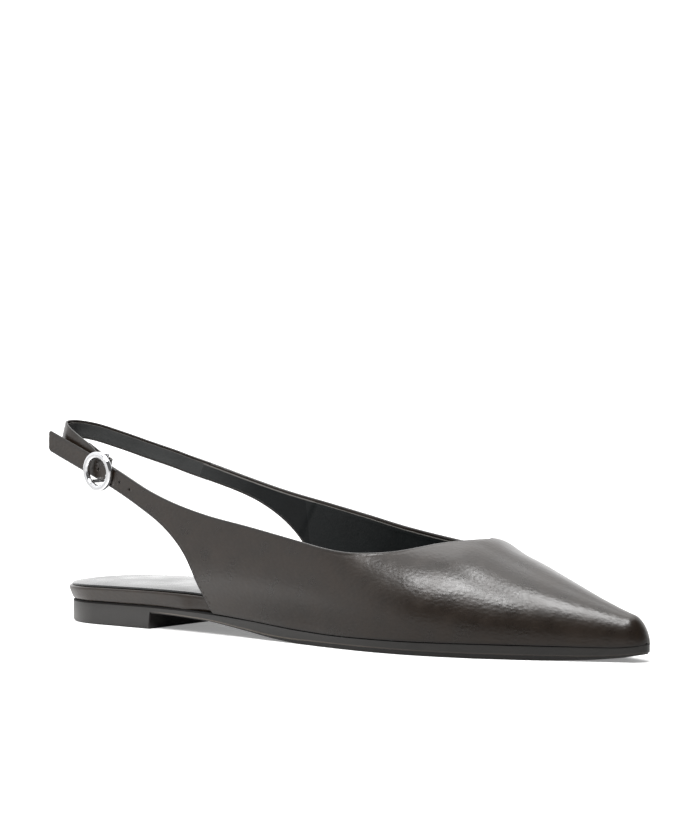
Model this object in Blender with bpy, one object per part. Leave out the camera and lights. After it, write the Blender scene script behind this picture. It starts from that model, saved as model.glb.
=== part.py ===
"""Pointed-toe flat slingback shoe for the right foot.

The toe points along +X, the buckle is on the outer (lateral) side at -Y, and the shoe
stands on the plane Z = 0. The origin lies under the middle of the whole shoe's box.
The tables are in millimetres, with x counted from the back of the heel to the toe,
and the finished objects are in metres.
"""

import math
from collections import namedtuple

import bmesh
import bpy
import numpy as np
from mathutils import Matrix, Vector

MM = 0.001
GAP = 0.3
LATERAL = -1.0
MEDIAL = 1.0

# Driving sizes
LENGTH = 270.0
HEEL_ROUND = 24.6
TOE_ROUND = 6.0
BREAST_FRONT = 54.3
BREAST_BACK = 53.5
UPPER_WALL = 1.8
UPPER_TIP = 269.5
BOARD_TIP = 267.0
SOCK_TIP = 266.0
SOCK_THICKNESS = 1.5
THROAT_POINT = 200.5
THROAT_START = 188.0
THROAT_ROUND = 0.6
TUCK_HEIGHT = 10.0
STRAP_TIP = -10.3
STRAP_ROOT = 45.0
LATERAL_CORNER = 90.7
MEDIAL_JOINT = 40.0
JOINT_SLANT = 2.4
JOINT_FADE = 16.0
MEDIAL_CORNER = 104.0
SLING_WIDTH = 7.4
SLING_THICKNESS = 1.3
SLING_LEAN = 0.31
RING_PLACE = 23.7
RING_OUTER = 7.8
RING_INNER = 5.4
RING_DEPTH = 2.2
BAR_PLACE = -3.6
BAR_RADIUS = 0.8
POST_RADIUS = 0.7
STUD_PLACE = 5.1
STUD_RADIUS = 0.65
HOLE_SPACING = 6.7
HOLE_COUNT = 5
HOLE_RADIUS = 0.8
STUD_HOLE_RADIUS = 1.0
COLUMN_ROWS = 10
SOLE_EDGE = 0.5
STEP_EDGE = 0.3
TREAD_DRAFT = 0.2
BOARD_EDGE = 0.7
SOCK_INSET = 1.2
SOCK_SLOPE = 0.2
SOCK_SHOULDER = 0.4
SOCK_ROUND = 1.0
SLING_EDGE = 0.3
SLING_LEAD = 5.0
RING_SOFT = 0.55
POST_OVERLAP = 0.4
RING_STEPS = 44
ROUND_SIDES = 12

# The sole at stations along the foot: half-widths to each side, the height of its top and
# bottom faces, the height of the step above the floor, and how far the step is set in.
Sole = namedtuple("Sole", "x lateral medial top bottom step shelf")
SOLE = (
    Sole(0.0, 24.6, 24.6, 8.8, 0.0, 0.5, 0.4),
    Sole(30.0, 24.9, 24.6, 9.1, 0.0, 0.5, 0.4),
    Sole(BREAST_BACK, 25.2, 24.3, 9.2, 0.0, 0.5, 0.4),
    Sole(BREAST_FRONT, 25.2, 24.3, 9.2, 6.2, 0.4, 0.4),
    Sole(82.0, 26.4, 24.2, 8.5, 5.3, 0.4, 0.4),
    Sole(104.0, 28.0, 25.2, 7.2, 2.9, 0.6, 0.6),
    Sole(120.0, 29.8, 27.0, 6.1, 0.9, 1.0, 0.9),
    Sole(135.0, 32.0, 29.8, 5.2, 0.0, 1.6, 1.2),
    Sole(155.0, 35.3, 33.6, 4.8, 0.0, 1.8, 1.2),
    Sole(172.0, 36.7, 36.0, 4.9, 0.0, 1.8, 1.2),
    Sole(185.0, 36.2, 36.6, 5.0, 0.0, 1.8, 1.2),
    Sole(206.0, 32.4, 33.2, 5.2, 0.0, 1.8, 1.2),
    Sole(230.0, 23.2, 23.6, 5.4, 0.0, 1.8, 1.2),
    Sole(250.0, 13.2, 13.2, 5.4, 0.5, 1.3, 1.0),
    Sole(262.0, 7.6, 7.6, 5.4, 1.6, 0.9, 0.7),
    Sole(LENGTH, 5.0, 5.0, 6.6, 2.9, 0.6, 0.5),
)

# The last: half-widths of the upper, the line of its ridge, how full its section is on each
# side, and how far the wall tucks in to the sole on each side.
Last = namedtuple(
    "Last", "x lateral medial ridge_y ridge_z full_lateral full_medial tuck_lateral tuck_medial"
)
LAST = (
    Last(-14.0, 11.6, 0.0, 0.0, 140.0, 3.0, 3.0, 0.0, 0.0),
    Last(0.0, 14.6, 8.6, 0.0, 140.0, 3.0, 3.0, 0.0, 0.0),
    Last(42.0, 23.2, 22.4, 0.0, 140.0, 3.0, 3.0, 0.0, 0.0),
    Last(66.0, 27.2, 26.0, 0.0, 128.0, 3.0, 3.0, 1.0, 1.0),
    Last(88.0, 30.0, 28.6, 0.0, 113.0, 3.0, 3.0, 2.8, 2.6),
    Last(110.0, 32.4, 30.4, -0.4, 90.0, 3.0, 3.0, 3.4, 3.8),
    Last(135.0, 35.2, 32.6, -0.8, 69.0, 2.8, 2.8, 3.2, 3.2),
    Last(155.0, 37.4, 35.6, -1.4, 55.0, 2.6, 2.5, 2.8, 2.7),
    Last(172.0, 38.4, 37.6, -1.8, 46.4, 2.45, 2.2, 2.4, 2.3),
    Last(185.0, 37.8, 38.0, -2.0, 43.9, 2.3, 2.0, 2.3, 2.2),
    Last(THROAT_POINT, 35.0, 35.6, -2.0, 41.6, 2.1, 1.85, 2.3, 2.2),
    Last(218.0, 29.6, 30.2, -1.6, 34.4, 2.0, 1.8, 2.3, 2.2),
    Last(230.0, 24.6, 25.0, -1.2, 29.6, 2.0, 1.8, 2.2, 2.2),
    Last(250.0, 14.2, 14.2, -0.5, 21.6, 1.95, 1.85, 1.8, 1.8),
    Last(262.0, 8.2, 8.2, 0.0, 17.4, 1.9, 1.9, 1.4, 1.4),
    Last(UPPER_TIP, 5.2, 5.2, 0.0, 15.4, 1.9, 1.9, 0.9, 0.9),
)

# Edges of the upper's pattern behind the throat, as heights above the floor.
Edge = namedtuple("Edge", "x z")
LATERAL_TOPLINE = (
    Edge(-14.0, 76.1),
    Edge(33.0, 61.6),
    Edge(55.0, 53.7),
    Edge(70.0, 49.7),
    Edge(88.0, 46.2),
    Edge(110.0, 43.2),
    Edge(135.0, 39.3),
    Edge(150.0, 36.9),
    Edge(160.0, 36.2),
    Edge(172.0, 36.8),
    Edge(181.0, 38.3),
    Edge(THROAT_START, 40.1),
)
LATERAL_REAR = (
    Edge(-14.0, 67.7),
    Edge(33.0, 53.0),
    Edge(49.0, 46.7),
    Edge(61.0, 41.0),
    Edge(72.0, 32.8),
    Edge(78.0, 26.0),
    Edge(83.5, 17.0),
    Edge(LATERAL_CORNER, 8.0),
)
MEDIAL_TOPLINE = (
    Edge(30.0, 67.3),
    Edge(46.0, 62.6),
    Edge(65.0, 57.1),
    Edge(83.0, 52.4),
    Edge(102.0, 48.6),
    Edge(122.0, 44.6),
    Edge(141.0, 40.8),
    Edge(158.0, 38.5),
    Edge(170.0, 37.6),
    Edge(180.0, 38.0),
    Edge(THROAT_START, 39.2),
)
MEDIAL_REAR = (
    Edge(30.0, 59.3),
    Edge(46.0, 55.0),
    Edge(65.0, 49.0),
    Edge(78.0, 42.0),
    Edge(88.0, 33.0),
    Edge(96.0, 20.0),
    Edge(MEDIAL_CORNER, 7.0),
)

# The covered board: how far its edge stands outside the sole (heel) or inside it (under the
# upper), and the height of its top.
Board = namedtuple("Board", "x lateral medial top")
BOARD = (
    Board(0.0, 1.7, 1.7, 14.2),
    Board(30.0, 1.7, 1.7, 14.8),
    Board(55.0, 1.7, 1.7, 15.1),
    Board(70.0, 0.4, 1.7, 14.9),
    Board(82.0, -1.9, 0.6, 14.2),
    Board(96.0, -2.4, -2.2, 12.7),
    Board(120.0, -2.8, -3.0, 10.0),
    Board(140.0, -3.2, -3.2, 8.5),
    Board(165.0, -3.4, -3.4, 7.9),
    Board(206.0, -3.4, -3.4, 8.1),
    Board(250.0, -3.6, -3.6, 8.6),
    Board(LENGTH, -3.8, -3.8, 9.6),
)

# Side of the board from its top edge down: share of its height, share of its flare.
BoardSide = namedtuple("BoardSide", "height flare")
BOARD_SIDE = (
    BoardSide(0.92, 1.0),
    BoardSide(0.70, 0.72),
    BoardSide(0.40, 0.34),
    BoardSide(0.0, 0.0),
)

# Centre line of the sling strap from the inner quarter round the heel to the buckle run.
Sling = namedtuple("Sling", "x y z")
SLING_BACK = (
    Sling(30.0, 18.7, 63.6),
    Sling(18.0, 15.1, 67.3),
    Sling(7.5, 10.5, 71.0),
    Sling(-0.6, 5.2, 73.8),
    Sling(-5.6, -0.4, 75.0),
    Sling(-6.4, -5.4, 74.9),
    Sling(-2.6, -9.4, 73.4),
    Sling(5.0, -12.0, 69.8),
)

# End of the sling strap at the buckle: along the lateral strap, up across it and out from it,
# and how far its width leans along the strap.
Fold = namedtuple("Fold", "along across out lean")

Finish = namedtuple("Finish", "name colour roughness metallic")
BROWN_LEATHER = Finish("brown_leather", (0.030, 0.016, 0.011), 0.38, 0.0)
BLACK_LEATHER = Finish("black_sock_leather", (0.012, 0.012, 0.013), 0.5, 0.0)
BLACK_RUBBER = Finish("charcoal_rubber", (0.016, 0.016, 0.017), 0.45, 0.0)
POLISHED_STEEL = Finish("polished_steel", (0.80, 0.80, 0.81), 0.12, 1.0)


def clear_scene():
    for thing in list(bpy.data.objects):
        bpy.data.objects.remove(thing, do_unlink=True)


def material(finish):
    made = bpy.data.materials.get(finish.name)
    if made is None:
        made = bpy.data.materials.new(finish.name)
        made.use_nodes = True
        shader = made.node_tree.nodes["Principled BSDF"]
        shader.inputs["Base Color"].default_value = (*finish.colour, 1.0)
        shader.inputs["Roughness"].default_value = finish.roughness
        shader.inputs["Metallic"].default_value = finish.metallic
    return made


def smooth(rows, column):
    """A cubic through one column of a table that never overshoots its rows."""
    x = np.array([row.x for row in rows])
    y = np.array([getattr(row, column) for row in rows])
    chord = np.diff(y) / np.diff(x)
    product = chord[:-1] * chord[1:]
    total = np.where(product > 0, chord[:-1] + chord[1:], 1.0)
    middle = np.where(product > 0, 2.0 * product / total, 0.0)
    slope = np.concatenate([chord[:1], middle, chord[-1:]])

    def at(value):
        value = np.clip(value, x[0], x[-1])
        i = np.clip(np.searchsorted(x, value, "right") - 1, 0, len(x) - 2)
        width = x[i + 1] - x[i]
        t = (value - x[i]) / width
        start = y[i] * (1 + 2 * t) * (1 - t) ** 2 + slope[i] * width * t * (1 - t) ** 2
        end = y[i + 1] * t * t * (3 - 2 * t) - slope[i + 1] * width * t * t * (1 - t)
        return start + end

    return at


def toe_cap(x, tip):
    """1 along the foot, falling to 0 at the tip as a quarter circle does."""
    return np.sqrt(1.0 - np.clip((x - tip + TOE_ROUND) / TOE_ROUND, 0.0, 1.0) ** 2)


def heel_cap(x):
    return np.sqrt(1.0 - np.clip((HEEL_ROUND - x) / HEEL_ROUND, 0.0, 1.0) ** 2)


def stations(tip):
    """Places along the sole, close together round the heel, at the breast and at the toe."""
    turn = np.linspace(0.0, math.pi / 2, 9)
    heel = HEEL_ROUND * (1.0 - np.cos(turn))
    seat = np.linspace(HEEL_ROUND, BREAST_BACK, 6)[1:]
    waist = np.linspace(BREAST_FRONT, 135.0, 13)
    forefoot = np.linspace(135.0, tip - TOE_ROUND, 19)[1:]
    toe = tip - TOE_ROUND * (1.0 - np.sin(turn[1:]))
    return np.concatenate([heel, seat, waist, forefoot, toe])


def outline(x, tip, lateral_offset, medial_offset):
    """Closed ring round the sole, moved out by the offsets: heel, lateral side, toe, medial side."""
    cap = heel_cap(x) * toe_cap(x, tip)
    lateral = np.stack([x, -smooth(SOLE, "lateral")(x) * cap], 1)
    medial = np.stack([x, smooth(SOLE, "medial")(x) * cap], 1)
    ring = np.concatenate([lateral, medial[-2:0:-1]])
    offset = np.concatenate([lateral_offset, medial_offset[-2:0:-1]])
    along = np.roll(ring, -1, 0) - np.roll(ring, 1, 0)
    along /= np.linalg.norm(along, axis=1, keepdims=True)
    return ring + np.stack([along[:, 1], -along[:, 0]], 1) * offset[:, None]


def ring_at(plan, height):
    """The plan ring lifted to a height that is given at each station."""
    heights = np.concatenate([height, height[-2:0:-1]])
    return np.column_stack([plan, heights])


def make_object(name, mesh, finish, shoe):
    thing = bpy.data.objects.new(name, mesh)
    bpy.context.scene.collection.objects.link(thing)
    mesh.materials.append(material(finish))
    thing.parent = shoe
    return thing


def shaded(mesh, angle=35.0):
    mesh.shade_smooth()
    mesh.set_sharp_from_angle(angle=math.radians(angle))


def mesh_from(name, points, faces, outward=True):
    """A mesh in metres from points in millimetres, with doubled points welded."""
    work = bmesh.new()
    corners = [work.verts.new(Vector(point) * MM) for point in points]
    for face in faces:
        work.faces.new([corners[i] for i in face])
    bmesh.ops.remove_doubles(work, verts=work.verts, dist=1e-7)
    if outward:
        bmesh.ops.recalc_face_normals(work, faces=work.faces)
    mesh = bpy.data.meshes.new(name)
    work.to_mesh(mesh)
    work.free()
    shaded(mesh)
    return mesh


def slab(name, rings):
    """A solid between rings from its top to its bottom, closed across by strips."""
    count = len(rings[0])
    half = count // 2
    points = np.concatenate(rings)
    faces = []
    for level in range(len(rings) - 1):
        for i in range(count):
            j = (i + 1) % count
            upper, lower = level * count, (level + 1) * count
            faces.append((upper + i, upper + j, lower + j, lower + i))
    for base in (0, (len(rings) - 1) * count):
        faces.append((base, base + 1, base + count - 1))
        for i in range(1, half - 1):
            faces.append((base + i, base + i + 1, base + count - i - 1, base + count - i))
        faces.append((base + half - 1, base + half, base + half + 1))
    return mesh_from(name, points, faces)


def outsole(shoe):
    """Moulded unit: heel block, waist, forefoot with its stepped tread pad, and toe spring."""
    x = stations(LENGTH)
    top = smooth(SOLE, "top")(x)
    bottom = smooth(SOLE, "bottom")(x)
    step = smooth(SOLE, "step")(x)
    shelf = smooth(SOLE, "shelf")(x)
    level = np.ones_like(x)
    rings = []
    for inset, height in (
        (SOLE_EDGE * level, top),
        (0.0 * level, top - SOLE_EDGE),
        (0.0 * level, bottom + step + STEP_EDGE),
        (STEP_EDGE * level, bottom + step),
        (shelf, bottom + step),
        (shelf + TREAD_DRAFT, bottom),
    ):
        rings.append(ring_at(outline(x, LENGTH, -inset, -inset), height))
    return make_object("outsole", slab("outsole", rings), BLACK_RUBBER, shoe)


def board_flare(x):
    return smooth(BOARD, "lateral")(x), smooth(BOARD, "medial")(x)


def midsole(shoe):
    """Leather-covered board: a flared band round the heel, a thin plate inside the upper."""
    x = stations(BOARD_TIP)
    lateral, medial = board_flare(x)
    top = smooth(BOARD, "top")(x)
    bottom = smooth(SOLE, "top")(x) + GAP
    rings = [ring_at(outline(x, BOARD_TIP, lateral - BOARD_EDGE, medial - BOARD_EDGE), top)]
    for row in BOARD_SIDE:
        sides = [np.where(flare > 0, flare * row.flare, flare) for flare in (lateral, medial)]
        height = bottom + (top - bottom) * row.height
        rings.append(ring_at(outline(x, BOARD_TIP, *sides), height))
    return make_object("midsole", slab("midsole", rings), BROWN_LEATHER, shoe)


def insole(shoe):
    """Padded sock on top of the board, set in from its edge."""
    x = stations(SOCK_TIP)
    lateral, medial = board_flare(x)
    bottom = smooth(BOARD, "top")(x) + GAP
    rings = []
    for inset, height in (
        (SOCK_INSET + SOCK_ROUND, SOCK_THICKNESS),
        (SOCK_INSET + SOCK_SLOPE, SOCK_THICKNESS - SOCK_SHOULDER),
        (SOCK_INSET, 0.0),
    ):
        plan = outline(x, SOCK_TIP, lateral - inset, medial - inset)
        rings.append(ring_at(plan, bottom + height))
    return make_object("insole", slab("insole", rings), BLACK_LEATHER, shoe)


def last_base(x):
    """Height of the upper's lower edge, just above the sole."""
    return smooth(SOLE, "top")(x) + GAP


def last_rise(x):
    """Height of the ridge above the lower edge, rounded off at the toe."""
    return (smooth(LAST, "ridge_z")(x) - last_base(x)) * toe_cap(x, UPPER_TIP)


def side_of(side):
    return "medial" if side > 0 else "lateral"


def turn_at_height(side, x, z):
    """The section's turn, 0 at the sole and a right angle at the ridge, for a height."""
    share = np.clip((z - last_base(x)) / np.maximum(last_rise(x), 1e-9), 0.0, 1.0)
    return np.arcsin(share ** (smooth(LAST, "full_" + side_of(side))(x) / 2.0))


def last_point(side, x, turn):
    """A point of the last: a superellipse section whose foot tucks in to the sole."""
    name = side_of(side)
    power = 2.0 / smooth(LAST, "full_" + name)(x)
    ridge = smooth(LAST, "ridge_y")(x)
    cap = toe_cap(x, UPPER_TIP)
    span = (smooth(LAST, name)(x) - side * ridge) * cap
    lift = last_rise(x) * np.sin(turn) ** power
    tuck = smooth(LAST, "tuck_" + name)(x) * cap * np.exp(-((lift / TUCK_HEIGHT) ** 2))
    across = ridge + side * (span * np.maximum(np.cos(turn), 0.0) ** power - tuck * np.cos(turn))
    return np.stack([x, across, last_base(x) + lift], -1)


def throat_turn(side, topline, x):
    """Turn of the topline: by its height along the side, then running in to the throat point."""
    start = float(turn_at_height(side, THROAT_START, topline(THROAT_START)))
    share = np.clip((x - THROAT_START) / (THROAT_POINT - THROAT_START), 0.0, 1.0)
    throat = np.arccos(math.cos(start) * (1.0 - share) ** THROAT_ROUND)
    return np.where(x < THROAT_START, turn_at_height(side, x, topline(x)), throat)


def upper_columns(side):
    """Foot and top of each column of the upper, as places along the last and turns of its section."""
    if side == LATERAL:
        topline, rear = smooth(LATERAL_TOPLINE, "z"), smooth(LATERAL_REAR, "z")
        corner, root = LATERAL_CORNER, STRAP_ROOT
        strap = np.linspace(STRAP_TIP, root, 13)[:-1]
    else:
        topline, rear = smooth(MEDIAL_TOPLINE, "z"), smooth(MEDIAL_REAR, "z")
        corner, root = MEDIAL_CORNER, MEDIAL_JOINT
        strap = np.zeros(0)
    edge = np.linspace(root, corner, 15)
    side_run = np.linspace(corner, THROAT_POINT, 19)[1:]
    vamp = np.linspace(THROAT_POINT, UPPER_TIP - TOE_ROUND, 11)[1:]
    toe = UPPER_TIP - TOE_ROUND * (1.0 - np.sin(np.linspace(0.0, math.pi / 2, 7)[1:]))
    foot = np.concatenate([strap, edge, side_run, vamp, toe])
    slant = JOINT_SLANT if side == MEDIAL else 0.0
    top = foot + slant * np.clip(1.0 - (foot - root) / JOINT_FADE, 0.0, 1.0)
    foot_turn = np.where(foot < corner, turn_at_height(side, foot, rear(foot)), 0.0)
    top_turn = np.where(top < THROAT_POINT, throat_turn(side, topline, top), math.pi / 2)
    return foot, top, foot_turn, top_turn


def upper_sheet(side):
    """Grid of points over one side of the upper, a column at each place along the last."""
    foot, top, foot_turn, top_turn = upper_columns(side)
    share = np.linspace(0.0, 1.0, COLUMN_ROWS + 1)
    turn = foot_turn[:, None] + (top_turn - foot_turn)[:, None] * share
    place = foot[:, None] + (top - foot)[:, None] * share
    return last_point(side, place, turn)


def grid_faces(columns, rows, first):
    faces = []
    for i in range(columns - 1):
        for j in range(rows - 1):
            a = first + i * rows + j
            faces.append((a, a + rows, a + rows + 1, a + 1))
    return faces


def upper(shoe):
    """Vamp, quarters and the lateral strap in one wall, open at collar, heel and underneath."""
    lateral, medial = upper_sheet(LATERAL), upper_sheet(MEDIAL)
    faces = grid_faces(*lateral.shape[:2], 0)
    first = lateral.shape[0] * lateral.shape[1]
    faces += [face[::-1] for face in grid_faces(*medial.shape[:2], first)]
    points = np.concatenate([lateral.reshape(-1, 3), medial.reshape(-1, 3)])
    thing = make_object("upper", mesh_from("upper", points, faces, False), BROWN_LEATHER, shoe)
    wall = thing.modifiers.new("Wall", "SOLIDIFY")
    wall.thickness = UPPER_WALL * MM
    wall.offset = -1.0
    wall.use_even_offset = True
    return thing


def strap_middle(x):
    """Point on the outer face of the lateral strap, midway between its edges."""
    z = 0.5 * (smooth(LATERAL_TOPLINE, "z")(x) + smooth(LATERAL_REAR, "z")(x))
    return last_point(LATERAL, np.asarray(x), turn_at_height(LATERAL, x, z))


def strap_frame(x):
    """Axes on the lateral strap: along it to the toe, up across it and out from it."""
    centre = Vector(strap_middle(x))
    along = (Vector(strap_middle(x + 1.0)) - Vector(strap_middle(x - 1.0))).normalized()
    across = Vector((0.0, 0.0, 1.0))
    across = (across - along * across.dot(along)).normalized()
    out = along.cross(across).normalized()
    frame = Matrix((along, across, out)).transposed().to_4x4()
    frame.translation = centre * MM
    return frame


def sling_route():
    """Centre line of the sling strap in millimetres, with the direction that its width takes."""
    sheet = upper_sheet(MEDIAL)
    end, inside = (sheet[i, [0, -1]].mean(axis=0) for i in (0, 1))
    along = (end - inside) / np.linalg.norm(end - inside)
    inward = np.cross(np.array([0.0, 0.0, 1.0]), along)
    inward /= np.linalg.norm(inward)
    start = end + 0.5 * UPPER_WALL * inward + GAP * along
    rows = [start, start + SLING_LEAD * along] + [np.array(row) for row in SLING_BACK]
    ups = [np.array([SLING_LEAN, 0.0, 1.0])] * len(rows)
    frame = strap_frame(RING_PLACE)
    outer = -(UPPER_WALL + GAP + 0.5 * SLING_THICKNESS)
    bend = BAR_RADIUS + GAP + 0.5 * SLING_THICKNESS
    pinched = outer - SLING_THICKNESS - GAP
    folds = [Fold(-15.0, 2.9, outer, 0.16), Fold(-9.0, 1.5, outer, 0.08), Fold(-6.2, 0.8, outer, 0.0)]
    for turn in np.radians(np.linspace(90.0, -115.0, 8)):
        along, out = bend * math.cos(turn), bend * math.sin(turn)
        folds.append(Fold(BAR_PLACE + along, 0.4, outer - bend + out, 0.0))
    folds.append(Fold(-7.6, 1.1, pinched - 0.2, 0.05))
    folds += [Fold(-10.5, 1.8, pinched, 0.1), Fold(-17.0, 3.2, pinched, 0.16)]
    for fold in folds:
        rows.append(np.array(frame @ (Vector(fold[:3]) * MM)) / MM)
        ups.append(np.array(frame.to_3x3() @ Vector((fold.lean, 1.0, 0.0))))
    return np.array(rows), np.array(ups)


def through(points, steps):
    """A smooth curve through points, with a few steps in each span."""
    padded = np.concatenate([2 * points[:1] - points[1:2], points, 2 * points[-1:] - points[-2:-1]])
    before, start, end, after = padded[:-3], padded[1:-2], padded[2:-1], padded[3:]
    made = []
    knot = [np.linalg.norm(b - a, axis=1) ** 0.5 for a, b in ((before, start), (start, end), (end, after))]
    first, middle, last = (k[:, None] for k in knot)
    leave = (start - before) / first - (end - before) / (first + middle) + (end - start) / middle
    arrive = (end - start) / middle - (after - start) / (middle + last) + (after - end) / last
    for step in range(steps):
        t = step / steps
        made.append(
            start * (1 + 2 * t) * (1 - t) ** 2 + leave * middle * t * (1 - t) ** 2
            + end * t * t * (3 - 2 * t) - arrive * middle * t * t * (1 - t)
        )
    line = np.stack(made, 1).reshape(-1, points.shape[1])
    return np.concatenate([line, points[-1:]])


def sling_strap(shoe):
    """Flat strap round the heel, folded round the buckle's bar and back along itself."""
    rows, ups = sling_route()
    line = through(rows, 4)
    span = np.linspace(0.0, len(ups) - 1.0, len(line))
    up = np.stack([np.interp(span, np.arange(len(ups)), ups[:, axis]) for axis in range(3)], 1)
    along = np.gradient(line, axis=0)
    along /= np.linalg.norm(along, axis=1, keepdims=True)
    across = up - along * np.sum(up * along, axis=1, keepdims=True)
    across /= np.linalg.norm(across, axis=1, keepdims=True)
    out = np.cross(along, across)
    half = 0.5 * SLING_WIDTH
    thick = 0.5 * SLING_THICKNESS
    flat, thin = half - SLING_EDGE, thick - SLING_EDGE
    corners = (
        (flat, thick), (half, thin), (half, -thin), (flat, -thick),
        (-flat, -thick), (-half, -thin), (-half, thin), (-flat, thick),
    )
    section = [line + across * a + out * b for a, b in corners]
    points = np.stack(section, 1).reshape(-1, 3)
    count = len(corners)
    faces = []
    for i in range(len(line) - 1):
        for j in range(count):
            k = (j + 1) % count
            faces.append((i * count + j, i * count + k, (i + 1) * count + k, (i + 1) * count + j))
    faces.append(tuple(range(count)))
    faces.append(tuple((len(line) - 1) * count + j for j in range(count)))
    mesh = mesh_from("sling_strap", points, faces)
    return make_object("sling_strap", mesh, BROWN_LEATHER, shoe)


def rod(name, radius, length, place, shoe):
    """A closed rod along its own Z, placed by a matrix."""
    work = bmesh.new()
    bmesh.ops.create_cone(
        work,
        cap_ends=True,
        segments=ROUND_SIDES,
        radius1=radius * MM,
        radius2=radius * MM,
        depth=length * MM,
    )
    mesh = bpy.data.meshes.new(name)
    work.to_mesh(mesh)
    work.free()
    thing = bpy.data.objects.new(name, mesh)
    bpy.context.scene.collection.objects.link(thing)
    thing.parent = shoe
    thing.matrix_local = place
    return thing


def helper(thing):
    thing.hide_render = True
    thing.display_type = "WIRE"
    return thing


def combine(target, other, operation):
    join = target.modifiers.new(other.name, "BOOLEAN")
    join.operation = operation
    join.solver = "EXACT"
    join.object = helper(other)


def spot(along, across, out):
    return Matrix.Translation(Vector((along, across, out)) * MM)


def ring_profile():
    """Corners of the ring's section, as radius and height out from the strap: flat, with soft edges."""
    low, high = GAP, GAP + RING_DEPTH
    near = (1.0 - math.sqrt(0.5)) * RING_SOFT
    return (
        (RING_OUTER, low),
        (RING_OUTER, high - RING_SOFT),
        (RING_OUTER - near, high - near),
        (RING_OUTER - RING_SOFT, high),
        (RING_INNER + RING_SOFT, high),
        (RING_INNER + near, high - near),
        (RING_INNER, high - RING_SOFT),
        (RING_INNER, low),
    )


def buckle_ring(shoe):
    """Ring outside the strap, its bar behind on two posts, and the stud that enters a hole."""
    frame = strap_frame(RING_PLACE)
    work = bmesh.new()
    corners = [work.verts.new(Vector((radius, 0.0, height)) * MM) for radius, height in ring_profile()]
    edges = [work.edges.new((a, b)) for a, b in zip(corners, corners[1:] + corners[:1])]
    bmesh.ops.spin(
        work,
        geom=corners + edges,
        cent=(0, 0, 0),
        axis=(0, 0, 1),
        angle=2 * math.pi,
        steps=RING_STEPS,
        use_merge=True,
    )
    bmesh.ops.remove_doubles(work, verts=work.verts, dist=1e-6)
    bmesh.ops.recalc_face_normals(work, faces=work.faces)
    mesh = bpy.data.meshes.new("buckle_ring")
    work.to_mesh(mesh)
    work.free()
    shaded(mesh, 60.0)
    ring = make_object("buckle_ring", mesh, POLISHED_STEEL, shoe)
    ring.matrix_local = frame
    mid = 0.5 * (RING_OUTER + RING_INNER)
    bar_out = -(UPPER_WALL + GAP + SLING_THICKNESS + GAP + BAR_RADIUS)
    reach = math.sqrt(mid * mid - BAR_PLACE * BAR_PLACE)
    upright = Matrix.Rotation(0.5 * math.pi, 4, "X")
    place = frame @ spot(BAR_PLACE, 0, bar_out) @ upright
    combine(ring, rod("buckle_bar", BAR_RADIUS, 2 * reach, place, shoe), "UNION")
    top = GAP + 0.5 * RING_DEPTH
    foot = bar_out - POST_OVERLAP
    for sign, name in ((1, "buckle_post_upper"), (-1, "buckle_post_lower")):
        place = frame @ spot(BAR_PLACE, sign * reach, 0.5 * (top + foot))
        combine(ring, rod(name, POST_RADIUS, top - foot, place, shoe), "UNION")
    place = frame @ spot(STUD_PLACE, 0, 0.5 * (top - UPPER_WALL))
    combine(ring, rod("buckle_stud", STUD_RADIUS, top + UPPER_WALL, place, shoe), "UNION")
    return ring


def strap_holes(shoe, strap):
    """Row of punched holes in the lateral strap, the stud standing in the middle one."""
    for index in range(HOLE_COUNT):
        step = index - HOLE_COUNT // 2
        frame = strap_frame(RING_PLACE) @ spot(STUD_PLACE, 0, 0)
        if step:
            frame = strap_frame(frame.translation.x / MM + step * HOLE_SPACING)
        radius = HOLE_RADIUS if step else STUD_HOLE_RADIUS
        centre = frame @ spot(0, 0, -0.5 * UPPER_WALL)
        cutter = rod(f"strap_hole_{index}", radius, 2 * UPPER_WALL + GAP, centre, shoe)
        combine(strap, cutter, "DIFFERENCE")


def stand_on_origin(shoe, pieces):
    """Moves the shoe so that the origin is under the middle of its box, on the floor."""
    bpy.context.view_layer.update()
    corners = np.array([piece.matrix_world @ v.co for piece in pieces for v in piece.data.vertices])
    low, high = corners.min(axis=0), corners.max(axis=0)
    middle = 0.5 * (low + high)
    shoe.location = (-middle[0], -middle[1], -low[2])


def main():
    clear_scene()
    shoe = bpy.data.objects.new("shoe", None)
    bpy.context.scene.collection.objects.link(shoe)
    pieces = [outsole(shoe), midsole(shoe), insole(shoe), upper(shoe), sling_strap(shoe)]
    pieces.append(buckle_ring(shoe))
    strap_holes(shoe, pieces[3])
    stand_on_origin(shoe, pieces)


main()
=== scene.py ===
"""Dressed scene of a pointed-toe flat slingback shoe for the right foot.

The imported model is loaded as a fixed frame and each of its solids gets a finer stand-in:
the leather upper with its lining, the sling strap, the buckle, the padded sock, the
covered board and the moulded sole. All tables are in millimetres with x counted from the
back of the heel to the toe, y to the inner (medial) side and z up. The finished meshes
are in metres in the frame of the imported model.
"""

import logging
import math
from dataclasses import dataclass, field, replace
from enum import Enum
from typing import Callable, NamedTuple, Sequence

import bmesh
import bpy
import numpy as np
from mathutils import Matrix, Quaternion, Vector


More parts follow.
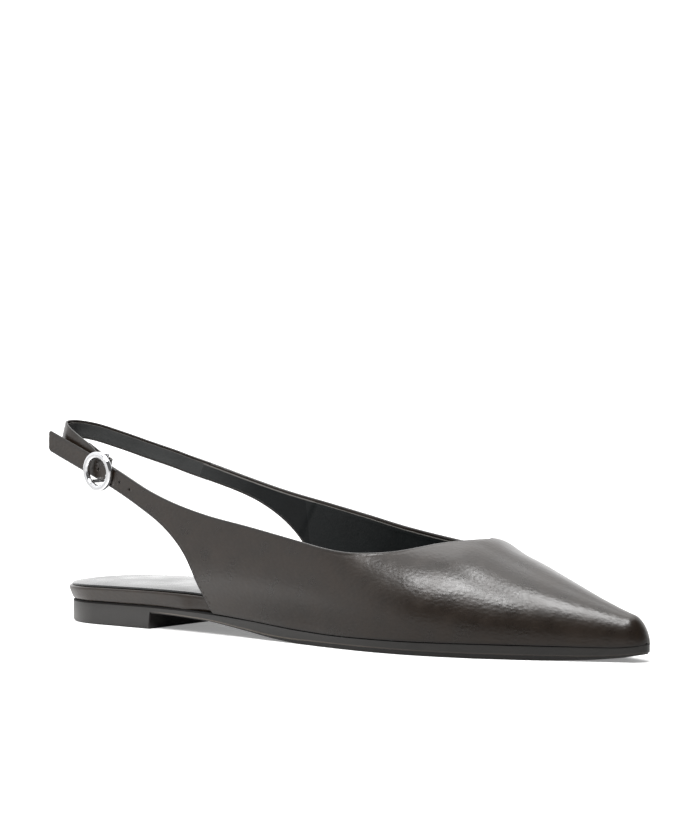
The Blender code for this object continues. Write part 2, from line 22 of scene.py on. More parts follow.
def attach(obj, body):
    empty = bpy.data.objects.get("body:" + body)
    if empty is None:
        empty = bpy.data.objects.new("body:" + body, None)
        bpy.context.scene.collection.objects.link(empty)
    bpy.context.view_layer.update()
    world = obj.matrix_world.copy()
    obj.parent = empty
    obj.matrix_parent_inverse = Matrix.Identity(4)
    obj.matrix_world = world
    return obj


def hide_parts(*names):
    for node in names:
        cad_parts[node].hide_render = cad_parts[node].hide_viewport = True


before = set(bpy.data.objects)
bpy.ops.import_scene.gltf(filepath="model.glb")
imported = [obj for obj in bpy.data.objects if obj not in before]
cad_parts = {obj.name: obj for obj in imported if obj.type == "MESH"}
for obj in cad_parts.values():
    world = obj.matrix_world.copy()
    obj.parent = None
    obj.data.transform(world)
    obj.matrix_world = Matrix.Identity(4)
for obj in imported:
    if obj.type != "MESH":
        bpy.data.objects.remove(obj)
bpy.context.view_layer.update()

LOG = logging.getLogger("slingback")
Array = np.ndarray
Curve = Callable[[Array], Array]
Place = tuple[float, float, float]
Piece = bpy.types.Object
Tree = bpy.types.NodeTree
Node = bpy.types.Node
Socket = bpy.types.NodeSocket

MM = 0.001
RIGHT_ANGLE = 0.5 * math.pi
FULL_TURN = 2.0 * math.pi
UP = np.array([0.0, 0.0, 1.0])
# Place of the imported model's origin in the tables' frame.
ORIGIN = np.array([129.85, -0.255, 0.0])
BODY = "root"
# Points of a mesh that lie closer than this, in metres, become one.
WELD = 4e-6

# Sizes that several pieces share. The strap's tip and the lateral corner lie about a millimetre
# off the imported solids, to follow the photograph.
GAP = 0.3
SEAM = 0.02
LENGTH = 270.0
HEEL_ROUND = 24.6
TOE_ROUND = 6.0
BREAST_FRONT = 54.3
BREAST_BACK = 53.5
UPPER_WALL = 1.8
UPPER_TIP = 269.5
BOARD_TIP = 267.0
SOCK_TIP = 266.0
THROAT_POINT = 200.5
THROAT_START = 188.0
THROAT_ROUND = 0.6
WAIST_END = 135.0
STRAP_TIP = -11.6
LATERAL_CORNER = 88.2
MEDIAL_JOINT = 40.0
MEDIAL_CORNER = 104.0
RING_PLACE = 23.7
# Stud and bar of the buckle, along the strap from the ring's middle.
STUD_PLACE = 5.1
BAR_PLACE = -3.6
BAR_RADIUS = 0.8
STRAP_THICKNESS = 1.3
# Widths of the bell curves that smooth the sole's and the board's tables.
SOLE_BLUR = 3.0
BOARD_BLUR = 2.0


class Side(Enum):
    """The two sides of the foot, with the sign of y on that side."""

    LATERAL = -1.0
    MEDIAL = 1.0

    @property
    def word(self) -> str:
        """Name of the side as the table columns spell it."""
        return self.name.lower()


class Slot(Enum):
    """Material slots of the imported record."""

    LEATHER = "brown_leather"
    SOCK = "black_sock_leather"
    RUBBER = "charcoal_rubber"
    STEEL = "polished_steel"


class SoleRow(NamedTuple):
    """Sole at a station: half-widths, top, bottom, height of the step and its inset."""

    x: float
    lateral: float
    medial: float
    top: float
    bottom: float
    step: float
    shelf: float


SOLE = (
    SoleRow(0.0, 24.6, 24.6, 8.8, 0.0, 0.5, 0.4),
    SoleRow(30.0, 24.9, 24.6, 9.1, 0.0, 0.5, 0.4),
    SoleRow(BREAST_BACK, 25.2, 24.3, 9.2, 0.0, 0.5, 0.4),
    SoleRow(BREAST_FRONT, 25.2, 24.3, 9.2, 6.2, 0.4, 0.4),
    SoleRow(82.0, 26.4, 24.2, 8.5, 5.3, 0.4, 0.4),
    SoleRow(104.0, 28.0, 25.2, 7.2, 2.9, 0.6, 0.6),
    SoleRow(120.0, 29.8, 27.0, 6.1, 0.9, 1.0, 0.9),
    SoleRow(WAIST_END, 32.0, 29.8, 5.2, 0.0, 1.6, 1.2),
    SoleRow(155.0, 35.3, 33.6, 4.8, 0.0, 1.8, 1.2),
    SoleRow(172.0, 36.7, 36.0, 4.9, 0.0, 1.8, 1.2),
    SoleRow(185.0, 36.2, 36.6, 5.0, 0.0, 1.8, 1.2),
    SoleRow(206.0, 32.4, 33.2, 5.2, 0.0, 1.8, 1.2),
    SoleRow(230.0, 23.2, 23.6, 5.4, 0.0, 1.8, 1.2),
    SoleRow(250.0, 13.2, 13.2, 5.4, 0.5, 1.3, 1.0),
    SoleRow(262.0, 7.6, 7.6, 5.4, 1.6, 0.9, 0.7),
    SoleRow(LENGTH, 5.0, 5.0, 6.6, 2.9, 0.6, 0.5),
)


class LastRow(NamedTuple):
    """Last at a station: half-widths, ridge line, fullness of each side and tuck at the sole."""

    x: float
    lateral: float
    medial: float
    ridge_y: float
    ridge_z: float
    full_lateral: float
    full_medial: float
    tuck_lateral: float
    tuck_medial: float


LAST = (
    LastRow(-14.0, 11.6, 0.0, 0.0, 140.0, 3.0, 3.0, 0.0, 0.0),
    LastRow(0.0, 14.6, 8.6, 0.0, 140.0, 3.0, 3.0, 0.0, 0.0),
    LastRow(42.0, 23.2, 22.4, 0.0, 140.0, 3.0, 3.0, 0.0, 0.0),
    LastRow(66.0, 27.2, 26.0, 0.0, 128.0, 3.0, 3.0, 1.0, 1.0),
    LastRow(88.0, 30.0, 28.6, 0.0, 113.0, 3.0, 3.0, 2.8, 2.6),
    LastRow(110.0, 32.4, 30.4, -0.4, 90.0, 3.0, 3.0, 3.4, 3.8),
    LastRow(135.0, 35.2, 32.6, -0.8, 69.0, 2.8, 2.8, 3.2, 3.2),
    LastRow(155.0, 37.4, 35.6, -1.4, 55.0, 2.6, 2.5, 2.0, 1.9),
    LastRow(172.0, 38.4, 37.6, -1.8, 46.4, 2.45, 2.2, 1.4, 1.3),
    LastRow(185.0, 37.8, 38.0, -2.0, 43.9, 2.3, 2.0, 1.2, 1.1),
    LastRow(THROAT_POINT, 35.0, 35.6, -2.0, 41.6, 2.1, 1.85, 1.1, 1.0),
    LastRow(218.0, 29.6, 30.2, -1.6, 34.4, 2.0, 1.8, 1.1, 1.1),
    LastRow(230.0, 24.6, 25.0, -1.2, 29.6, 2.02, 1.8, 1.1, 1.1),
    LastRow(250.0, 14.2, 14.2, -0.5, 21.6, 2.12, 1.85, 0.7, 0.7),
    LastRow(262.0, 8.2, 8.2, 0.0, 17.4, 2.25, 1.95, 0.4, 0.4),
    LastRow(UPPER_TIP, 5.2, 5.2, 0.0, 15.4, 2.25, 1.95, 0.0, 0.0),
)


class EdgeRow(NamedTuple):
    """Height of a pattern edge at a station."""

    x: float
    z: float


def edge_rows(*pairs: tuple[float, float]) -> tuple[EdgeRow, ...]:
    """Rows of a pattern edge from pairs of x and height."""
    return tuple(EdgeRow(*pair) for pair in pairs)


LATERAL_TOPLINE = edge_rows(
    (-14.0, 76.1), (33.0, 61.6), (55.0, 53.7), (70.0, 49.7), (88.0, 46.2), (110.0, 43.2),
    (135.0, 39.3), (150.0, 36.9), (160.0, 36.2), (172.0, 36.8), (181.0, 38.3),
    (THROAT_START, 40.1),
)
LATERAL_REAR = edge_rows(
    (-14.0, 67.7), (33.0, 53.0), (49.0, 46.7), (61.0, 41.0), (72.0, 32.8), (77.5, 26.0),
    (82.0, 17.0), (LATERAL_CORNER, 8.0),
)
MEDIAL_TOPLINE = edge_rows(
    (30.0, 67.3), (46.0, 62.6), (65.0, 57.1), (83.0, 52.4), (102.0, 48.6), (122.0, 44.6),
    (141.0, 40.8), (158.0, 38.5), (170.0, 37.6), (180.0, 38.0), (THROAT_START, 39.2),
)
MEDIAL_REAR = edge_rows(
    (30.0, 59.3), (46.0, 55.0), (65.0, 49.0), (78.0, 42.0), (88.0, 33.0), (96.0, 20.0),
    (MEDIAL_CORNER, 7.0),
)


class BoardRow(NamedTuple):
    """Covered board at a station: how far it stands outside the sole's edge, and its top."""

    x: float
    lateral: float
    medial: float
    top: float


BOARD = (
    BoardRow(0.0, 1.7, 1.7, 14.2),
    BoardRow(30.0, 1.7, 1.7, 14.8),
    BoardRow(55.0, 1.7, 1.7, 15.1),
    BoardRow(70.0, 0.4, 1.7, 14.9),
    BoardRow(82.0, -1.9, 0.6, 14.2),
    BoardRow(96.0, -2.4, -2.2, 12.7),
    BoardRow(120.0, -2.8, -3.0, 10.0),
    BoardRow(140.0, -3.2, -3.2, 8.5),
    BoardRow(165.0, -3.4, -3.4, 7.9),
    BoardRow(206.0, -3.4, -3.4, 8.1),
    BoardRow(250.0, -3.6, -3.6, 8.6),
    BoardRow(LENGTH, -3.8, -3.8, 9.6),
)


# ----------------------------------------------------------------------------------------
# Curves and meshes
# ----------------------------------------------------------------------------------------


def cubic(t: Array, start: Array, leave: Array, end: Array, arrive: Array) -> Array:
    """Cubic over a span, from its ends and the slopes there times the span's length.

    Args:
        t: Shares of the span that are passed.
        start: Value at its start.
        leave: Slope at its start.
        end: Value at its end.
        arrive: Slope at its end.

    Returns:
        Values along the span.
    """
    first = start * (1 + 2 * t) * (1 - t) ** 2 + leave * t * (1 - t) ** 2
    return first + end * t * t * (3 - 2 * t) - arrive * t * t * (1 - t)


def curve_through(rows: Sequence[NamedTuple], column: str, blur: float = 0.0) -> Curve:
    """Cubic through one column of a table that never overshoots its rows.

    The slope at a row is the harmonic mean of the chords beside it. With a blur, the line is
    then averaged along x under a bell curve, so that no highlight breaks at a row.

    Args:
        rows: Table with an x column.
        column: Column to follow.
        blur: Width of the bell curve in millimetres, or 0 for none.

    Returns:
        Function from x to the column's value.
    """
    x = np.array([row.x for row in rows])
    y = np.array([getattr(row, column) for row in rows])
    chord = np.diff(y) / np.diff(x)
    product = chord[:-1] * chord[1:]
    total = np.where(product > 0, chord[:-1] + chord[1:], 1.0)
    middle = np.where(product > 0, 2.0 * product / total, 0.0)
    slope = np.concatenate([chord[:1], middle, chord[-1:]])

    def exact(value: Array) -> Array:
        """Value of the cubic, held inside the table.

        Args:
            value: Places along x.

        Returns:
            The column's values there.
        """
        value = np.clip(value, x[0], x[-1])
        i = np.clip(np.searchsorted(x, value, "right") - 1, 0, len(x) - 2)
        width = x[i + 1] - x[i]
        t = (value - x[i]) / width
        return cubic(t, y[i], slope[i] * width, y[i + 1], slope[i + 1] * width)

    if blur == 0.0:
        return exact
    step, reach = 0.25, 4 * blur
    fine = np.arange(x[0] - reach, x[-1] + reach, step)
    inside = np.clip(fine, x[0], x[-1])
    line = exact(inside) + (fine - inside) * np.where(fine < x[0], chord[0], chord[-1])
    half = int(round(reach / step))
    weight = np.exp(-0.5 * (np.arange(-half, half + 1) * step / blur) ** 2)
    soft = np.convolve(np.pad(line, half, mode="edge"), weight / weight.sum(), "valid")
    return lambda value: np.interp(value, fine, soft)


def through_points(points: Array, steps: int) -> Array:
    """Centripetal curve through points: each span is a cubic whose slopes look at both sides.

    Args:
        points: Points to pass, one a row.
        steps: Points made in each span.

    Returns:
        Dense points along the curve.
    """
    lead, tail = 2 * points[:1] - points[1:2], 2 * points[-1:] - points[-2:-1]
    padded = np.concatenate([lead, points, tail])
    before, start, end, after = padded[:-3], padded[1:-2], padded[2:-1], padded[3:]
    first = np.linalg.norm(start - before, axis=1, keepdims=True) ** 0.5
    middle = np.linalg.norm(end - start, axis=1, keepdims=True) ** 0.5
    last = np.linalg.norm(after - end, axis=1, keepdims=True) ** 0.5
    leave = (start - before) / first - (end - before) / (first + middle) + (end - start) / middle
    arrive = (end - start) / middle - (after - start) / (middle + last) + (after - end) / last
    t = (np.arange(steps) / steps)[None, :, None]
    spans = (span[:, None] for span in (start, leave * middle, end, arrive * middle))
    line = cubic(t, *spans)
    return np.concatenate([line.reshape(-1, points.shape[1]), points[-1:]])


def unit(vectors: Array) -> Array:
    """Vectors scaled to length one along the last axis."""
    return vectors / np.maximum(np.linalg.norm(vectors, axis=-1, keepdims=True), 1e-12)


def lengths(points: Array) -> Array:
    """Distance of each point from the first, along the line through them."""
    return np.append(0.0, np.cumsum(np.linalg.norm(np.diff(points, axis=0), axis=1)))


def toe_cap(x: Array, tip: float, full: float = 2.0) -> Array:
    """1 along the foot, falling to 0 at the tip as a quarter superellipse does."""
    inside = np.clip((x - tip + TOE_ROUND) / TOE_ROUND, 0.0, 1.0)
    return (1.0 - inside**full) ** (1.0 / full)


def heel_cap(x: Array) -> Array:
    """0 at the back of the heel, rising to 1 as a quarter circle does."""
    return np.sqrt(1.0 - np.clip((HEEL_ROUND - x) / HEEL_ROUND, 0.0, 1.0) ** 2)


def grid_faces(columns: int, rows: int, first: int = 0, wrap: bool = False) -> Array:
    """Corner numbers of the quads of a grid that is stored column after column.

    Args:
        columns: Number of columns.
        rows: Points in each column.
        first: Number of the grid's first point.
        wrap: Whether the last row joins the first.

    Returns:
        Array of quads.
    """
    i = np.arange(columns - 1)[:, None] * rows
    j = np.arange(rows if wrap else rows - 1)[None, :]
    k = (j + 1) % rows
    quads = np.stack(np.broadcast_arrays(i + j, i + rows + j, i + rows + k, i + k), -1)
    return first + quads.reshape(-1, 4)


@dataclass
class Patchwork:
    """Grids of points gathered into one mesh, with a material number and an edge value each."""

    points: list[Array] = field(default_factory=list)
    faces: list[Array] = field(default_factory=list)
    marks: list[Array] = field(default_factory=list)
    edges: list[Array] = field(default_factory=list)
    count: int = 0

    def add(
        self, grid: Array, mark: Array | int = 0, edge: Array | float = 0.0, wrap: bool = False
    ) -> None:
        """Adds a grid of points in millimetres.

        Args:
            grid: Points by column and row.
            mark: Material number of its faces, one for all or one for each row.
            edge: How far each point takes the edge tone, 0 to 1: cut edges or painted light.
            wrap: Whether its last row joins its first.
        """
        quads = grid_faces(*grid.shape[:2], self.count, wrap)
        self.points.append(grid.reshape(-1, 3))
        self.faces.append(quads)
        rows = grid.shape[1] if wrap else grid.shape[1] - 1
        marks = np.broadcast_to(mark, (grid.shape[0] - 1, rows))
        self.marks.append(marks.reshape(-1).astype(np.int32))
        self.edges.append(np.broadcast_to(edge, grid.shape[:2]).reshape(-1))
        self.count += grid.shape[0] * grid.shape[1]

    def build(self, name: str, finishes: Sequence["Finish"], sharp: float) -> Piece:
        """Makes the welded, outward-facing object at the origin.

        Args:
            name: Name of the piece.
            finishes: Finishes by number.
            sharp: Angle in degrees past which an edge is drawn sharp.

        Returns:
            The new object.
        """
        mesh = bpy.data.meshes.new(name)
        points = (np.concatenate(self.points) - ORIGIN) * MM
        mesh.from_pydata(points, [], np.concatenate(self.faces))
        mesh.polygons.foreach_set("material_index", np.concatenate(self.marks))
        near = mesh.attributes.new("edge", "FLOAT", "POINT")
        near.data.foreach_set("value", np.concatenate(self.edges).astype(np.float32))
        work = bmesh.new()
        work.from_mesh(mesh)
        bmesh.ops.remove_doubles(work, verts=work.verts, dist=WELD)
        bmesh.ops.recalc_face_normals(work, faces=work.faces)
        work.to_mesh(mesh)
        work.free()
        for finish in finishes:
            mesh.materials.append(finish.material())
        mesh.shade_smooth()
        mesh.set_sharp_from_angle(angle=math.radians(sharp))
        thing = bpy.data.objects.new(name, mesh)
        bpy.context.scene.collection.objects.link(thing)
        return thing


def settle(piece: Piece, slot: Slot, *nodes: str) -> Piece:
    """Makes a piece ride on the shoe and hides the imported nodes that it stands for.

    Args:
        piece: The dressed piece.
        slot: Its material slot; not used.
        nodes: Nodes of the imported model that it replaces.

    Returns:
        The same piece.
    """
    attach(piece, BODY)
    if nodes:
        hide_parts(*nodes)
    LOG.info("%s: %d faces", piece.name, len(piece.data.polygons))
    return piece


# ----------------------------------------------------------------------------------------
# Finishes
# ----------------------------------------------------------------------------------------


def linear(colour: str) -> tuple[float, float, float, float]:
    """Linear colour of an sRGB hex value such as #336699, by the curve that sRGB defines.

    Args:
        colour: Hex value.

    Returns:
        Red, green, blue and an opaque alpha.
    """
    parts = np.array([int(colour[i : i + 2], 16) for i in (1, 3, 5)]) / 255.0
    light = np.where(parts <= 0.04045, parts / 12.92, ((parts + 0.055) / 1.055) ** 2.4)
    return (*light.tolist(), 1.0)


def add_node(tree: Tree, kind: str, settings: dict, links: dict) -> Node:
    """Adds a node with its settings and the links into it.

    Args:
        tree: Node tree that takes it.
        kind: Blender's name of the node type.
        settings: Values by input name or number, or else by property.
        links: Sockets to join, by input name or number.

    Returns:
        The new node.
    """
    node = tree.nodes.new(kind)
    for key, value in settings.items():
        if isinstance(key, int) or key in node.inputs:
            node.inputs[key].default_value = value
        else:
            setattr(node, key, value)
    for key, socket in links.items():
        tree.links.new(socket, node.inputs[key])
    return node


@dataclass(frozen=True)
class Finish:
    """A procedural surface: two tones, a grain of raised cells, and a slow change of gloss.

    Sizes are in millimetres on the real material and become texture scales per metre. The
    drift is a slow noise: tone and gloss go from one end to the other over spans of it, and
    towards an edge the colour goes over to the edge's tone. That tone is edge wear on cut edges,
    and painted shade, a painted sheen or a painted highlight where a piece's edge value carries
    those.
    """

    name: str
    tone: str
    shade: str
    edge_tone: str
    roughness: float
    roughness_range: float
    grain_size: float
    grain_height: float
    drift_size: float
    drift_height: float
    metallic: float = 0.0
    specular: float = 0.5
    ior: float = 1.5
    stretch: float = 1.0
    drift_detail: float = 4.0
    drift_roughness: float = 0.55
    drift_span: tuple[float, float] = (0.3, 0.7)
    tone_span: tuple[float, float] = (0.32, 0.7)
    grain_softness: float = 0.6

    def material(self) -> bpy.types.Material:
        """Builds the material, or gives the one that was built before.

        Returns:
            The node material.
        """
        made = bpy.data.materials.get(self.name)
        if made is not None:
            return made
        made = bpy.data.materials.new(self.name)
        made.use_nodes = True
        tree = made.node_tree
        shader = tree.nodes["Principled BSDF"]
        shader.inputs["Metallic"].default_value = self.metallic
        shader.inputs["Specular IOR Level"].default_value = self.specular
        if not self.metallic:
            shader.inputs["IOR"].default_value = self.ior
        place = tree.nodes.new("ShaderNodeTexCoord").outputs["Object"]
        self.dress(tree, shader, place)
        return made

    def dress(self, tree: Tree, shader: Node, place: Socket) -> None:
        """Links colour, roughness and bump.

        Args:
            tree: The material's nodes.
            shader: Its surface shader.
            place: Object coordinates.
        """
        drift = add_node(
            tree, "ShaderNodeTexNoise",
            {
                "Scale": 1.0 / (MM * self.drift_size),
                "Detail": self.drift_detail, "Roughness": self.drift_roughness,
            },
            {"Vector": place},
        ).outputs["Fac"]
        drawn = add_node(
            tree, "ShaderNodeMapping", {"Scale": (self.stretch, 1.0, 1.0)}, {"Vector": place},
        )
        cells = add_node(
            tree, "ShaderNodeTexVoronoi",
            {
                "feature": "SMOOTH_F1", "Scale": 1.0 / (MM * self.grain_size),
                "Smoothness": self.grain_softness, "Randomness": 1.0,
            },
            {"Vector": drawn.outputs["Vector"]},
        )
        tones = add_node(tree, "ShaderNodeValToRGB", {}, {"Fac": drift})
        stops = zip(tones.color_ramp.elements, self.tone_span, (self.shade, self.tone))
        for stop, position, colour in stops:
            stop.position, stop.color = position, linear(colour)
        near = add_node(tree, "ShaderNodeAttribute", {"attribute_name": "edge"}, {})
        # The edge tone mixes in: edge wear, or painted shade, sheen or highlight on some pieces.
        wear_and_painted_light = add_node(
            tree, "ShaderNodeMix", {"data_type": "RGBA", 7: linear(self.edge_tone)},
            {0: near.outputs["Fac"], 6: tones.outputs["Color"]},
        )
        tree.links.new(wear_and_painted_light.outputs[2], shader.inputs["Base Color"])
        gloss = add_node(
            tree, "ShaderNodeMapRange",
            {
                "From Min": self.drift_span[0], "From Max": self.drift_span[1],
                "To Min": self.roughness - self.roughness_range,
                "To Max": self.roughness + self.roughness_range,
            },
            {"Value": drift},
        )
        tree.links.new(gloss.outputs["Result"], shader.inputs["Roughness"])
        slow = add_node(
            tree, "ShaderNodeBump", {"Strength": 1.0, "Distance": self.drift_height * MM},
            {"Height": drift},
        )
        fine = add_node(
            tree, "ShaderNodeBump",
            {"Strength": 1.0, "Distance": self.grain_height * MM, "invert": True},
            {"Height": cells.outputs["Distance"], "Normal": slow.outputs["Normal"]},
        )
        tree.links.new(fine.outputs["Normal"], shader.inputs["Normal"])


@dataclass(frozen=True)
class StagePaper(Finish):
    """Studio paper that the camera sees pale and that throws less light back at the toe.

    Between the places of the bounce, in metres along the shoe, its tone goes over from the
    heel's to the toe's. A brighter pool lies beside the heel.
    """

    bounce_heel: str = "#b6b5b4"
    bounce_toe: str = "#acabaa"
    bounce_places: tuple[float, float] = (-0.15, 0.05)
    fill: str = "#8a8a8a"
    pool: str = "#f0efee"
    pool_place: Place = (-0.11, -0.06, 0.0)
    pool_radii: tuple[float, float] = (0.1, 0.03)

    def dress(self, tree: Tree, shader: Node, place: Socket) -> None:
        """Links the paper's surface, then darker tones for light that bounces off it.

        For the camera alone it also glows a little, which keeps its shadows pale.

        Args:
            tree: The material's nodes.
            shader: Its surface shader.
            place: Object coordinates.
        """
        super().dress(tree, shader, place)
        pale = shader.inputs["Base Color"].links[0].from_socket
        split = add_node(tree, "ShaderNodeSeparateXYZ", {}, {"Vector": place})
        ahead = add_node(
            tree, "ShaderNodeMapRange",
            {"From Min": self.bounce_places[0], "From Max": self.bounce_places[1]},
            {"Value": split.outputs["X"]},
        )
        bounce = add_node(
            tree, "ShaderNodeMix",
            {"data_type": "RGBA", 6: linear(self.bounce_heel), 7: linear(self.bounce_toe)},
            {0: ahead.outputs["Result"]},
        )
        away = add_node(
            tree, "ShaderNodeVectorMath", {"operation": "DISTANCE", 1: self.pool_place}, {0: place},
        )
        inside = add_node(
            tree, "ShaderNodeMapRange",
            {"From Min": self.pool_radii[0], "From Max": self.pool_radii[1]},
            {"Value": away.outputs["Value"]},
        )
        lit = add_node(
            tree, "ShaderNodeMix", {"data_type": "RGBA", 7: linear(self.pool)},
            {0: inside.outputs["Result"], 6: bounce.outputs[2]},
        )
        ray = tree.nodes.new("ShaderNodeLightPath")
        seen = add_node(
            tree, "ShaderNodeMix", {"data_type": "RGBA"},
            {0: ray.outputs["Is Camera Ray"], 6: lit.outputs[2], 7: pale},
        )
        glow = add_node(
            tree, "ShaderNodeMix",
            {"data_type": "RGBA", 6: linear("#000000"), 7: linear(self.fill)},
            {0: ray.outputs["Is Camera Ray"]},
        )
        tree.links.new(seen.outputs[2], shader.inputs["Base Color"])
        tree.links.new(glow.outputs[2], shader.inputs["Emission Color"])
        shader.inputs["Emission Strength"].default_value = 1.0


# Smooth calf nappa, drum-dyed espresso and finished with a thin wax: a dark ground, a fine
# pebble in the highlights and a soft broad gloss. The pebble of about 0.4 mm is drawn at
# 1.1 mm so that it shows.
NAPPA = Finish(
    name="espresso_nappa_leather", tone="#20170f", shade="#18110b", edge_tone="#120d09",
    roughness=0.3, roughness_range=0.04, grain_size=1.1, grain_height=0.045,
    drift_size=9.0, drift_height=0.015, stretch=0.55,
)
# Pigmented lining leather, plated almost flat: very dark blue-green black, low gloss.
LINING = Finish(
    name="black_lining_leather", tone="#090f10", shade="#060a0b", edge_tone="#090f10",
    roughness=0.5, roughness_range=0.06, grain_size=0.7, grain_height=0.03,
    drift_size=12.0, drift_height=0.05, specular=0.35,
)
# The same lining leather in its rear piece, left unplated: charcoal with a softer face. Its
# paler edge tone, laid on towards the straps, is a painted sheen.
REAR_LINING = replace(
    LINING, name="charcoal_lining_leather", tone="#131617", shade="#0f1112",
    edge_tone="#2f3030", specular=0.22,
)
# Softer, thinner lining leather of the sling, painted mid charcoal: lighter than the lining, its
# extra lightness a painted sheen for the light that its smooth face reflects.
SLING_LINING_PAINTED_SHEEN = replace(
    LINING, name="sling_lining_leather_painted_sheen", tone="#363737", shade="#2c2d2d",
    edge_tone="#1c1d1d", roughness=0.45,
)
# Cut edge of the lining, left raw: grey fibres.
CUT_EDGE = Finish(
    name="raw_cut_lining_edge", tone="#4b4946", shade="#3a3836", edge_tone="#4b4946",
    roughness=0.75, roughness_range=0.08, grain_size=0.5, grain_height=0.05,
    drift_size=4.0, drift_height=0.03,
)
# Bonded polyester thread, dyed to the leather: dark brown with a dull twist.
THREAD = Finish(
    name="brown_polyester_thread", tone="#1d150e", shade="#130e09", edge_tone="#130e09",
    roughness=0.5, roughness_range=0.05, grain_size=0.3, grain_height=0.02,
    drift_size=3.0, drift_height=0.01,
)
# Soft sheep leather over thin foam for the sock: black, satin, slightly rumpled. Its darker edge
# tone, on the rounded edge beside the wall, is painted shade.
SOCK = Finish(
    name="black_sheepskin_sock", tone="#1a1b1c", shade="#121314", edge_tone="#0c0c0d",
    roughness=0.26, roughness_range=0.06, grain_size=0.9, grain_height=0.02,
    drift_size=16.0, drift_height=0.2,
)
# Thermoplastic rubber, injection moulded: charcoal with a semi-gloss from the tool. Its pale
# edge tone is a painted highlight along the lip.
RUBBER = Finish(
    name="moulded_thermoplastic_rubber", tone="#252321", shade="#1d1c1b", edge_tone="#5a534b",
    roughness=0.36, roughness_range=0.06, grain_size=0.6, grain_height=0.015,
    drift_size=14.0, drift_height=0.04,
)
# Painted shade along the feather line where the upper meets the sole: a dull black on the
# sole's rounded top edge, where the overhanging upper's shade falls.
FEATHER_SHADE = Finish(
    name="black_painted_feather_shade", tone="#0d0c0b", shade="#090808", edge_tone="#0d0c0b",
    roughness=0.7, roughness_range=0.06, grain_size=0.8, grain_height=0.02,
    drift_size=6.0, drift_height=0.02, specular=0.2,
)
# Zinc die casting, polished and chrome plated: bright mirror with faint polishing waves.
CHROME = Finish(
    name="chrome_plated_zinc", tone="#e9eaec", shade="#dfe0e3", edge_tone="#e9eaec",
    roughness=0.07, roughness_range=0.02, grain_size=1.6, grain_height=0.002,
    drift_size=6.0, drift_height=0.01, metallic=1.0,
)
# Matt studio paper: pale, with a faint tooth.
PAPER = StagePaper(
    name="matt_studio_paper", tone="#f4f4f3", shade="#f1f1f0", edge_tone="#f4f4f3",
    roughness=0.85, roughness_range=0.04, grain_size=2.0, grain_height=0.02,
    drift_size=60.0, drift_height=0.02,
)


# ----------------------------------------------------------------------------------------
# The last and the upper
# ----------------------------------------------------------------------------------------


@dataclass
class Last:
    """Shape of the foot that the upper takes: superellipse sections along x.

    A point is given by x and an arc from 0 at the sole to a right angle at the ridge. Its
    lift is the section's rise times the sine of the arc, and its distance from the ridge
    follows from |across|^full + |lift|^full = 1, less a tuck that fades with height.
    """

    blur: float = 4.0
    ridge_blur: float = 1.5
    tuck_height: float = 10.0
    toe_full: float = 2.6
    gap_places: tuple[float, float] = (225.0, 262.0)
    probe: float = 0.1
    probe_arc: float = 0.004

    def __post_init__(self) -> None:
        """Prepares the curves of the tables."""
        columns = LastRow._fields[1:]
        self.curves = {name: curve_through(LAST, name, self.blur) for name in columns}
        self.curves["ridge_z"] = curve_through(LAST, "ridge_z", self.ridge_blur)
        self.sole_top = curve_through(SOLE, "top", self.blur)

    def base(self, x: Array) -> Array:
        """Height of the upper's lower edge above the sole; the gap closes towards the toe."""
        return self.sole_top(x) + np.interp(x, self.gap_places, [GAP, SEAM])

    def rise(self, x: Array) -> Array:
        """Height of the ridge above the lower edge, rounded off at the toe."""
        return (self.curves["ridge_z"](x) - self.base(x)) * toe_cap(x, UPPER_TIP)

    def arc_at(self, x: Array, z: Array) -> Array:
        """Arc of the section at a height above the floor."""
        share = (z - self.base(x)) / np.maximum(self.rise(x), 1e-9)
        return np.arcsin(np.clip(share, 0.0, 1.0))

    def point(self, side: Side, x: Array, arc: Array) -> Array:
        """Points of the last.

        Args:
            side: Side of the foot.
            x: Places along the foot.
            arc: Arcs of the section.

        Returns:
            Points, with the coordinates on the last axis.
        """
        full = self.curves["full_" + side.word](x)
        ridge = self.curves["ridge_y"](x)
        cap = toe_cap(x, UPPER_TIP, self.toe_full)
        span = (self.curves[side.word](x) - side.value * ridge) * cap
        sine = np.clip(np.sin(arc), 0.0, 1.0)
        cosine = np.sqrt(np.clip(1.0 - sine**full, 0.0, 1.0))
        lift = self.rise(x) * sine
        fade = np.exp(-((lift / self.tuck_height) ** 2))
        tuck = self.curves["tuck_" + side.word](x) * cap * fade
        across = ridge + side.value * (span * cosine ** (2.0 / full) - tuck * cosine)
        return np.stack(np.broadcast_arrays(x, across, self.base(x) + lift), -1)

    def tangents(self, side: Side, x: Array, arc: Array) -> tuple[Array, Array]:
        """Changes of the point with x and with the arc, by central differences.

        Args:
            side: Side of the foot.
            x: Places along the foot.
            arc: Arcs of the section.

        Returns:
            Changes for each millimetre of x and for each radian of the arc.
        """
        dx, turn = self.probe, self.probe_arc
        # The probes stay just inside the tip, the sole and the ridge.
        x = np.minimum(x, UPPER_TIP - 1.2 * dx)
        arc = np.clip(arc, 1.5 * turn, RIGHT_ANGLE - 1.5 * turn)
        along = (self.point(side, x + dx, arc) - self.point(side, x - dx, arc)) / (2 * dx)
        up = (self.point(side, x, arc + turn) - self.point(side, x, arc - turn)) / (2 * turn)
        return along, up

    def normal(self, side: Side, x: Array, arc: Array) -> Array:
        """Outward normals of the last: its tangents' cross product, upright across the ridge.

        Args:
            side: Side of the foot.
            x: Places along the foot.
            arc: Arcs of the section.

        Returns:
            Vectors of length one.
        """
        along, up = self.tangents(side, x, arc)
        out = -side.value * np.cross(along, up)
        out[..., 1] *= np.where(arc > RIGHT_ANGLE - 1e-6, 0.0, 1.0)
        return unit(out)


